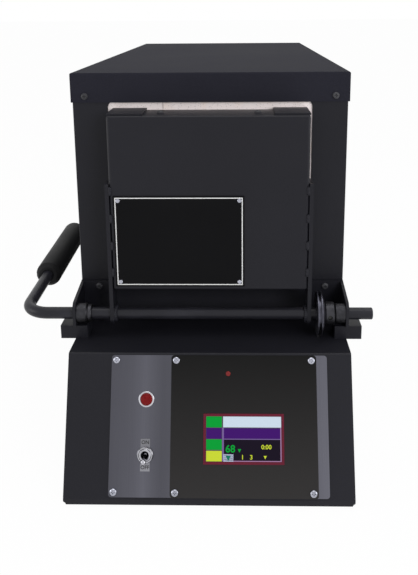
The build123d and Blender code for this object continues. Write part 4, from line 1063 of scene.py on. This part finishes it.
class KILN_OT_handle_grip(PieceOperator, bpy.types.Operator):
    """Moulded grip on the handle, with a parting line along each side"""

    bl_idname = "kiln.handle_grip"
    bl_label = "Handle grip"

    end_wall: length("End wall", "Thickness of the grip's closed far end", 4.0)

    def execute(self, context):
        box = solids("handle_grip", ALONG_HANDLE)[0]
        low, high = box
        shape = self.grip((high.x - low.x) / 2, high.z - low.z)
        shape = placed(shape, ALONG_HANDLE, middle_line(box, ALONG_HANDLE, low.z))
        black = rubber("grip_rubber", colours().rubber)
        put(shape, "moulded_grip", black, "door", ("handle_grip",), 25.0)
        return {"FINISHED"}

    def grip(self, outer, span):
        """The grip along local Z, open for the bar at its near end."""
        depth = span - self.end_wall
        profile = [(0, depth), (GRIP_BORE, depth), (GRIP_BORE, GRIP_FLARE_DEPTH)]
        profile.append((GRIP_BORE + GRIP_FLARE, 0))
        profile += [(outer * share, height * MM) for share, height in GRIP_NEAR_END]
        profile += [(outer * share, span * height) for share, height in GRIP_WAIST]
        for angle in QUARTER:
            radius = outer - GRIP_ROUNDING + GRIP_ROUNDING * cos(angle)
            profile.append((radius, span - GRIP_ROUNDING + GRIP_ROUNDING * sin(angle)))
        profile.append((0, span))
        shape = lathe(profile, 64)
        for vertex in shape.verts:
            on_side = abs(vertex.co.y) < 1e-5
            if on_side and vertex.co.xy.length > outer * 0.9:
                vertex.co.x -= copysign(sizes().grip_line, vertex.co.x)
        return shape


# Height of a screw's head
HEAD_RISE = 2.2 * MM


class KILN_OT_screws(PieceOperator, bpy.types.Operator):
    """Pan-head screws with cross recesses in place of the plain ones"""

    bl_idname = "kiln.screws"
    bl_label = "Screws"

    def execute(self, context):
        bright = plated("panel_zinc", colours().zinc)
        black = bar_paint("black_screw", (0.034, 0.034, 0.038))
        for name, node, basis, finish in (
            ("panel_screw_heads", "panel_screws", PANEL, bright),
            ("bracket_screw_heads", "bracket_screws", FACING_FRONT, black),
            ("rear_screw_heads", "rear_panel_screws", FACING_BACK, black),
        ):
            fasteners(name, node, basis, HEAD_RISE, finish, "kiln")
        for name, node, carrier, body, slot in (
            ("base_screw_heads", "base_screws", "base_case", "kiln", "zinc_steel"),
            ("cover_screw_heads", "top_cover_screws", "top_cover", "kiln", "zinc_steel"),
            ("door_screw_heads", "door_brick_screws", "door_shell", "door", "black_steel"),
        ):
            self.around(name, node, carrier, black, body, slot)
        return {"FINISHED"}

    def around(self, name, node, carrier, material, body, slot):
        """Screws on several faces of a carrier: each one faces away from its middle."""
        low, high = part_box(carrier)
        group = bmesh.new()
        for box in solids(node):
            axis = self.axis_of(box[1] - box[0])
            at_high_end = middle(box)[axis] > (low[axis] + high[axis]) / 2
            basis = FACING[axis][at_high_end]
            corners = [basis.transposed() @ corner for corner in box]
            local = (
                Vector(min(pair) for pair in zip(*corners)),
                Vector(max(pair) for pair in zip(*corners)),
            )
            join(group, screw_shape(local, HEAD_RISE), basis)
        put(group, name, material, body, (node,))

    def axis_of(self, size):
        """The axis of a screw: the other two sides of its box are both as wide as its head."""
        gaps = (abs(size.y - size.z), abs(size.x - size.z), abs(size.x - size.y))
        return gaps.index(min(gaps))


class KILN_OT_control_panel(PieceOperator, bpy.types.Operator):
    """Brushed plate, printed faceplate and the parts behind them"""

    bl_idname = "kiln.control_panel"
    bl_label = "Control panel"

    def execute(self, context):
        grain_up_panel = (radians(-66), 0, radians(90))
        low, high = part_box("control_plate")
        # the brushed plate carries painted reflections: streaks, and lighter and darker stretches
        # from left to right
        steel = brushed_steel(
            "brushed_stainless", colours().stainless, grain_up_panel, span=(low.x, high.x)
        )
        dress(steel, "control_plate")
        low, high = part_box("controller_faceplate")
        # the faceplate carries a painted reflection, lighter towards the bottom
        face = faceplate_print("faceplate_black", colours().faceplate, (low.z, high.z))
        dress(face, "controller_faceplate")
        dress(circuit_board("circuit_board"), "controller_board")
        dress(lamp_lens("status_lens", (0.10, 0.012, 0.012)), "status_light")
        dark = moulded_plastic("black_plastic", (0.016, 0.016, 0.017))
        dress(dark, "power_relays", "door_switch", "power_switch")
        return {"FINISHED"}


LENS_GROOVE = 0.70 * MM
LENS_GROOVE_DEPTH = 0.30 * MM


class KILN_OT_pilot_light(PieceOperator, bpy.types.Operator):
    """Red lens with moulded rings inside its bright bezel"""

    bl_idname = "kiln.pilot_light"
    bl_label = "Pilot light"

    ring_count: bpy.props.IntProperty(name="Rings", description="Rings in the lens", default=4)

    def execute(self, context):
        dress(plated("lamp_chrome", (0.62, 0.62, 0.66), 0.10), "pilot_bezel")
        box = solids("pilot_lens", PANEL)[0]
        shape = placed(self.ringed_dome(*box), PANEL, middle_line(box, PANEL))
        lens = lamp_lens("red_lens", colours().lens)
        put(shape, "ringed_lens", lens, "kiln", ("pilot_lens",))
        return {"FINISHED"}

    def ringed_dome(self, low, high):
        """A shallow dome round local Z with grooves between its rings."""
        radius = (high.x - low.x) / 2
        rise = high.z - low.z
        profile = [(0, low.z), (radius, low.z), (radius, high.z - rise * 0.45)]
        profile.append((radius * 0.93, high.z - rise * 0.22))
        for ring in range(self.ring_count, 0, -1):
            reach = radius * 0.84 * ring / self.ring_count
            dome = high.z - rise * 0.12 * (ring / self.ring_count) ** 2
            profile.append((reach, dome))
            profile.append((reach - LENS_GROOVE / 2, dome - LENS_GROOVE_DEPTH))
            profile.append((reach - LENS_GROOVE, dome))
        profile.append((0, high.z - rise * 0.01))
        return lathe(profile, 48)


# The threaded sleeve covers the plain bushing of the switch by these
SLEEVE_OVER = 0.05 * MM
SLEEVE_ROUND = 0.10 * MM
SLEEVE_INSIDE = 0.05 * MM
# Its mouth narrows and its wall ends at this depth, and its rim is chamfered
SLEEVE_MOUTH_DEPTH = 2.0 * MM
SLEEVE_NARROWING = 0.25 * MM
SLEEVE_INNER_WALL = 0.1 * MM
SLEEVE_RIM_WIDTH = 0.35 * MM
SLEEVE_RIM_DEPTH = 0.3 * MM
THREAD_PITCH = 0.75 * MM
THREAD_DEPTH = 0.25 * MM
NUT_GAP = 0.15 * MM
NUT_LIP = 0.4 * MM
# What a flute leaves of the nut's radius
NUT_FLUTE = 0.965
LETTER_THICKNESS = 0.1 * MM
LETTER_LIFT = 0.02 * MM


class KILN_OT_power_toggle(PieceOperator, bpy.types.Operator):
    """Fluted nut, threaded bushing, marked plate and lever of the power switch"""

    bl_idname = "kiln.power_toggle"
    bl_label = "Power toggle"

    bushing_radius: length("Bushing radius", "Radius of the threaded bushing", 5.95)
    mouth_radius: length("Mouth radius", "Radius of the opening round the lever", 4.2)
    bushing_rise: length("Bushing rise", "How far the bushing stands over the plate", 4.0)
    flutes: bpy.props.IntProperty(name="Flutes", description="Flutes round the nut", default=36)

    def execute(self, context):
        chrome = plated("switch_chrome", (0.50, 0.50, 0.54), 0.14)
        # the legend plate's steel carries the same painted reflection streaks
        legend = brushed_steel("legend_steel", (0.30, 0.30, 0.33), (0, radians(90), 0), 0.34)
        dress(chrome, "switch_lever")
        dress(legend, "on_off_plate")
        box = solids("switch_nut", PANEL)[0]
        place = middle_line(box, PANEL)
        nut = placed(self.nut(*box), PANEL, place)
        put(nut, "fluted_nut", chrome, "kiln", ("switch_nut",))
        plate_face = solids("control_plate", PANEL)[0][1].z
        bushing = placed(self.bushing(plate_face, box[0].z), PANEL, place)
        put(bushing, "threaded_bushing", chrome, "kiln")
        self.words(solids("on_off_plate", PANEL)[0])
        return {"FINISHED"}

    def nut(self, low, high):
        """The nut round local Z."""
        outer = (high.x - low.x) / 2
        bore = self.bushing_radius + NUT_GAP
        chamfer = (high.z - low.z) / 3
        profile = [
            (bore, low.z),
            (outer, low.z),
            (outer, high.z - chamfer),
            (outer - chamfer, high.z),
            (bore + NUT_LIP, high.z),
            (bore, high.z - NUT_LIP),
            (bore, low.z),
        ]
        shape = lathe(profile, self.flutes * 2)
        for vertex in shape.verts:
            around = round(atan2(vertex.co.y, vertex.co.x) / pi * self.flutes)
            if around % 2 and vertex.co.xy.length > outer * 0.98:
                vertex.co.xy *= NUT_FLUTE
        return shape

    def bushing(self, plate_face, seat):
        """The threaded sleeve round local Z, from the nut's seat to the mouth for the lever."""
        top = plate_face + self.bushing_rise + SLEEVE_OVER
        outer = self.bushing_radius + SLEEVE_ROUND
        mouth = self.mouth_radius - SLEEVE_INSIDE
        inner_end = top - SLEEVE_MOUTH_DEPTH
        profile = [(mouth - SLEEVE_NARROWING, inner_end), (mouth, top)]
        profile.append((outer - SLEEVE_RIM_WIDTH, top))
        height = top - SLEEVE_RIM_DEPTH
        while height - THREAD_PITCH > seat:
            profile.append((outer, height))
            profile.append((outer - THREAD_DEPTH, height - THREAD_PITCH / 2))
            height -= THREAD_PITCH
        profile.append((outer - THREAD_DEPTH, seat))
        profile.append((mouth + SLEEVE_INNER_WALL, inner_end))
        profile.append(profile[0])
        return lathe(profile, 48)

    def words(self, box):
        """ON above the lever and OFF below it, printed on their plate."""
        low, high = box
        height = sizes().letter_height
        reach = (high.y - low.y) / 2 - height
        centre = middle(box)
        group = bmesh.new()
        for word, up in (("ON", reach), ("OFF", -reach)):
            place = Vector((centre.x, centre.y + up, high.z + LETTER_LIFT))
            join(group, lettering(word, height, LETTER_THICKNESS), PANEL, PANEL @ place)
        ink = printed_ink("word_ink", (0.010, 0.010, 0.011))
        put(group, "on_off_words", ink, "kiln", (), 0)


GREEN = (0.0, 0.37, 0.04)
YELLOW = (0.64, 0.75, 0.04)
VIOLET = (0.055, 0.006, 0.16)
PALE = (0.66, 0.78, 0.90)
LINE = (0.20, 0.13, 0.34)
NIGHT = (0.008, 0.004, 0.014)
EDGE = (0.40, 0.22, 0.40)
BUTTON = (0.60, 0.66, 0.86)
TEAL = (0.01, 0.20, 0.12)

# Lit areas of the display: left, top, right and bottom as shares of its width and height
TILES = [
    ((0.238, 0.515, 0.985, 0.978), NIGHT),
    ((0.004, 0.004, 0.210, 0.246), GREEN),
    ((0.004, 0.258, 0.210, 0.498), VIOLET),
    ((0.004, 0.512, 0.210, 0.740), GREEN),
    ((0.004, 0.764, 0.210, 0.994), YELLOW),
    ((0.228, 0.004, 0.998, 0.244), PALE),
    ((0.238, 0.262, 0.985, 0.494), VIOLET),
    ((0.215, 0.250, 0.238, 0.990), LINE),
    ((0.985, 0.250, 0.999, 0.998), EDGE),
    ((0.238, 0.496, 0.985, 0.514), LINE),
    ((0.365, 0.978, 0.985, 0.998), EDGE),
    ((0.229, 0.835, 0.364, 0.996), BUTTON),
]

# Small triangles on it: the middle, the width and the colour
POINTERS = [
    ((0.296, 0.930), 0.072, TEAL),
    ((0.444, 0.760), 0.046, GREEN),
    ((0.783, 0.905), 0.042, YELLOW),
]

# Numbers on it: the middle, the height and the colour
FIGURES = [
    ("68", (0.323, 0.725), 0.165, GREEN),
    ("0:00", (0.800, 0.680), 0.100, YELLOW),
    ("1", (0.484, 0.905), 0.100, YELLOW),
    ("3", (0.600, 0.905), 0.100, YELLOW),
]


# Thickness of the display's tiles; the marks on them are twice as thick
LAYER = 0.02 * MM


class KILN_OT_touch_display(PieceOperator, bpy.types.Operator):
    """Red frame, dark glass and the lit tiles and numbers of the touch display"""

    bl_idname = "kiln.touch_display"
    bl_label = "Touch display"

    def execute(self, context):
        dress(moulded_plastic("red_frame", colours().screen_frame, 0.42), "display_frame")
        dress(display_glass("display_glass"), "touch_screen")
        low, high = solids("touch_screen", PANEL)[0]
        span, rise = high.x - low.x, high.y - low.y
        group = bmesh.new()
        for (left, top, right, bottom), tint in TILES:
            self.lay(group, rectangle(left, bottom, right, top), tint, low, high, LAYER)
        for (across, down), width, tint in POINTERS:
            half, drop = width / 2, width / 2 * span / rise
            left, right = across - half, across + half
            corners = ((across, down + drop), (right, down - drop), (left, down - drop))
            self.lay(group, corners, tint, low, high, 2 * LAYER)
        for words, (across, down), height, tint in FIGURES:
            shape = lettering(words, height * rise, 2 * LAYER)
            place = Vector((low.x + across * span, high.y - down * rise, high.z + 2 * LAYER))
            paint(shape, tint)
            join(group, shape, PANEL, PANEL @ place)
        put(group, "display_tiles", display_glow("display_glow"), "kiln", (), 0)
        return {"FINISHED"}

    def lay(self, group, corners, tint, low, high, lift):
        """Adds a thin tile by its corners, which are shares of the glass's width and height."""
        points = [
            (low.x + across * (high.x - low.x), high.y - down * (high.y - low.y))
            for across, down in corners
        ]
        shape = sheet_of(points, high.z - LAYER, high.z + lift)
        paint(shape, tint)
        join(group, shape, PANEL)


def paint(shape, tint):
    """Gives every face of a shape one colour for the display's material to read."""
    layer = shape.loops.layers.float_color.new("tint")
    for face in shape.faces:
        for loop in face.loops:
            loop[layer] = (*tint, 1.0)


# Half-outline of the gland's hexagon: shares of its radius and of the outer half's height
GLAND_HEXAGON = ((0.45, 0.0), (1.0, 0.0), (1.0, 0.34), (0.93, 0.40), (0.45, 0.40))
GLAND_LIP_WIDTH = 1.2 * MM
GLAND_LIP_DEPTH = 0.8 * MM
# What a flute leaves of the dome's radius
GLAND_FLUTE = 0.94


class KILN_OT_cord_gland(PieceOperator, bpy.types.Operator):
    """Hexagon and fluted dome of the cord gland on the back"""

    bl_idname = "kiln.cord_gland"
    bl_label = "Cord gland"

    bore: length("Bore", "Radius of the opening for the cord", 4.6)
    flutes: bpy.props.IntProperty(name="Flutes", description="Flutes round the dome", default=18)

    def execute(self, context):
        box = solids("cord_gland", FACING_BACK)[0]
        low, high = box
        outer = (high.x - low.x) / 2
        half = (low.z + high.z) / 2
        rise = high.z - half
        profile = [(outer * share, half + rise * height) for share, height in GLAND_HEXAGON]
        shape = lathe(profile + profile[:1], 6)
        join(shape, self.dome(low.z, half, high.z, outer))
        shape = placed(shape, FACING_BACK, middle_line(box, FACING_BACK))
        nylon = moulded_plastic("gland_nylon", (0.014, 0.014, 0.015), 0.34)
        put(shape, "fluted_gland", nylon, "kiln", ("cord_gland",))
        return {"FINISHED"}

    def dome(self, foot, half, top, outer):
        """The barrel in the panel and the dome outside it, open for the cord."""
        bore, wall, rise = self.bore, outer * 0.86, top - half
        profile = [
            (bore, foot),
            (outer * 0.72, foot),
            (outer * 0.72, half),
            (wall, half + rise * 0.1),
            (wall, half + rise * 0.72),
            (wall * 0.90, half + rise * 0.9),
            (bore + GLAND_LIP_WIDTH, top),
            (bore, top - GLAND_LIP_DEPTH),
            (bore, foot),
        ]
        shape = lathe(profile, self.flutes * 4)
        for vertex in shape.verts:
            around = round(atan2(vertex.co.y, vertex.co.x) / pi * self.flutes * 2)
            grooved = vertex.co.z > half + rise * 0.3 and vertex.co.xy.length > wall * 0.8
            if grooved and around % 4 == 0:
                vertex.co.xy *= GLAND_FLUTE
        return shape


# Studio


# Metres from the floor's middle to its edge, and the place that the lamps look at
FLOOR_REACH = 30
LIT_PLACE = Vector((0, 0.2, 0.2))

# Height of the camera's sensor in millimetres, and its shifts as shares of that height
SENSOR_HEIGHT = 36
SHIFT_X = -0.0220
SHIFT_Y = -0.1873


class KILN_OT_studio(PieceOperator, bpy.types.Operator):
    """White floor, pale surround, soft lights and the camera"""

    bl_idname = "kiln.studio"
    bl_label = "Studio"

    camera_at: bpy.props.FloatVectorProperty(
        name="Camera position",
        description="Where the camera stands",
        default=(0.030378, -0.644539, 0.482881),
        subtype="TRANSLATION",
    )
    camera_turn: bpy.props.FloatVectorProperty(
        name="Camera angles",
        description="Yaw to the left, pitch downwards and roll",
        default=(radians(1.375), radians(13.227), radians(-0.438)),
        subtype="EULER",
    )
    focal_length: number(
        "Focal length", "Focal length on a sensor 36 mm high", 45.74, unit="CAMERA"
    )

    def execute(self, context):
        context.scene.view_settings.view_transform = "Standard"
        self.floor(context)
        self.world(context)
        self.lights(context)
        self.camera(context)
        return {"FINISHED"}

    def floor(self, context):
        """A floor that keeps the kiln's shadow and shows nearly white to the camera."""
        shape = bmesh.new()
        bmesh.ops.create_grid(shape, x_segments=1, y_segments=1, size=FLOOR_REACH)
        mesh = bpy.data.meshes.new("studio_floor")
        shape.to_mesh(mesh)
        shape.free()
        floor = bpy.data.objects.new("studio_floor", mesh)
        context.scene.collection.objects.link(floor)
        finish = Finish("studio_floor", Roughness=0.9, Specular_IOR_Level=0.0)
        grain = finish.noise(3.0, 2.0)
        finish.show(Base_Color=finish.mix(grain, (0.82, 0.82, 0.82), (0.86, 0.86, 0.86)))
        lit = Wire(finish, finish.shader.outputs[0])
        white = finish.node("ShaderNodeEmission", {}, {"Color": (1, 1, 1), "Strength": 1.0})
        share = finish.seen_rays() * context.scene.kiln_studio.floor_white
        mixed = finish.node("ShaderNodeMixShader", {}, {0: share, 1: lit, 2: white})
        finish.feed(finish.tree.nodes["Material Output"].inputs["Surface"], mixed)
        mesh.materials.append(finish.material)

    def world(self, context):
        """A white surround that lights the kiln less strongly than the camera sees it."""
        surround = bpy.data.worlds.new("surround")
        surround.use_nodes = True
        context.scene.world = surround
        nodes = Nodes(surround.node_tree)
        background = nodes.tree.nodes["Background"].inputs
        strength = nodes.maths("MAXIMUM", nodes.seen_rays(), context.scene.kiln_studio.surround)
        nodes.feed(background["Color"], (1, 1, 1))
        nodes.feed(background["Strength"], strength)

    def lights(self, context):
        studio = context.scene.kiln_studio
        key = self.lamp(context, "key", (1.0, -1.8, 0.95), 0.8, studio.key_power)
        key.visible_glossy = False
        self.lamp(context, "top", (0.1, 0.2, 2.1), 1.3, studio.top_power)
        self.lamp(context, "left", (-1.8, -0.3, 0.55), 1.0, studio.side_power)
        self.lamp(context, "right", (1.8, -0.3, 0.55), 1.0, studio.side_power)

    def lamp(self, context, name, place, size, power):
        """A square lamp that faces the kiln."""
        light = bpy.data.lights.new(name, "AREA")
        light.size = size
        light.energy = power
        holder = bpy.data.objects.new(name, light)
        aim = LIT_PLACE - Vector(place)
        holder.rotation_euler = aim.to_track_quat("-Z", "Y").to_euler()
        holder.location = place
        context.scene.collection.objects.link(holder)
        return holder

    def camera(self, context):
        data = bpy.data.cameras.new("studio_camera")
        data.sensor_fit = "VERTICAL"
        data.sensor_height = SENSOR_HEIGHT
        data.lens = self.focal_length
        data.shift_x = SHIFT_X
        data.shift_y = SHIFT_Y
        data.clip_start = 0.01
        holder = bpy.data.objects.new("studio_camera", data)
        yaw, pitch, roll = self.camera_turn
        forward = Vector((0, cos(pitch), -sin(pitch)))
        up = Vector((0, sin(pitch), cos(pitch)))
        right = Vector((1, 0, 0))
        rolled_right = right * cos(roll) + up * sin(roll)
        rolled_up = up * cos(roll) - right * sin(roll)
        columns = Matrix((rolled_right, rolled_up, -forward)).transposed()
        turned = Matrix.Rotation(yaw, 3, "Z") @ columns
        holder.matrix_world = Matrix.Translation(self.camera_at) @ turned.to_4x4()
        context.scene.collection.objects.link(holder)
        context.scene.camera = holder


PIECES = (
    KILN_OT_sheet_metal,
    KILN_OT_lining,
    KILN_OT_heating_coils,
    KILN_OT_hinge,
    KILN_OT_door_welds,
    KILN_OT_information_plate,
    KILN_OT_handle_grip,
    KILN_OT_screws,
    KILN_OT_control_panel,
    KILN_OT_pilot_light,
    KILN_OT_power_toggle,
    KILN_OT_touch_display,
    KILN_OT_cord_gland,
    KILN_OT_studio,
)


class VIEW3D_PT_kiln(bpy.types.Panel):
    """Sizes, colours and steps of the kiln"""

    bl_label = "Firebrick kiln"
    bl_space_type = "VIEW_3D"
    bl_region_type = "UI"
    bl_category = "Kiln"

    def draw(self, context):
        column = self.layout.column()
        for group in (
            context.scene.kiln_sizes,
            context.scene.kiln_colours,
            context.scene.kiln_studio,
        ):
            for name in group.bl_rna.properties.keys():
                if name not in ("rna_type", "name"):
                    column.prop(group, name)
        for piece in PIECES:
            column.operator(piece.bl_idname)


GROUPS = (KilnSizes, KilnColours, KilnStudio)


def register():
    for kind in (*GROUPS, *PIECES, VIEW3D_PT_kiln):
        bpy.utils.register_class(kind)
    bpy.types.Scene.kiln_sizes = bpy.props.PointerProperty(type=KilnSizes)
    bpy.types.Scene.kiln_colours = bpy.props.PointerProperty(type=KilnColours)
    bpy.types.Scene.kiln_studio = bpy.props.PointerProperty(type=KilnStudio)


def unregister():
    del bpy.types.Scene.kiln_studio
    del bpy.types.Scene.kiln_colours
    del bpy.types.Scene.kiln_sizes
    for kind in (VIEW3D_PT_kiln, *reversed(PIECES), *reversed(GROUPS)):
        bpy.utils.unregister_class(kind)


def main():
    register()
    bpy.ops.kiln.sheet_metal()
    bpy.ops.kiln.lining()
    bpy.ops.kiln.heating_coils()
    bpy.ops.kiln.hinge()
    bpy.ops.kiln.door_welds()
    bpy.ops.kiln.information_plate()
    bpy.ops.kiln.handle_grip()
    bpy.ops.kiln.screws()
    bpy.ops.kiln.control_panel()
    bpy.ops.kiln.pilot_light()
    bpy.ops.kiln.power_toggle()
    bpy.ops.kiln.touch_display()
    bpy.ops.kiln.cord_gland()
    bpy.ops.kiln.studio()


if __name__ == "__main__":
    main()
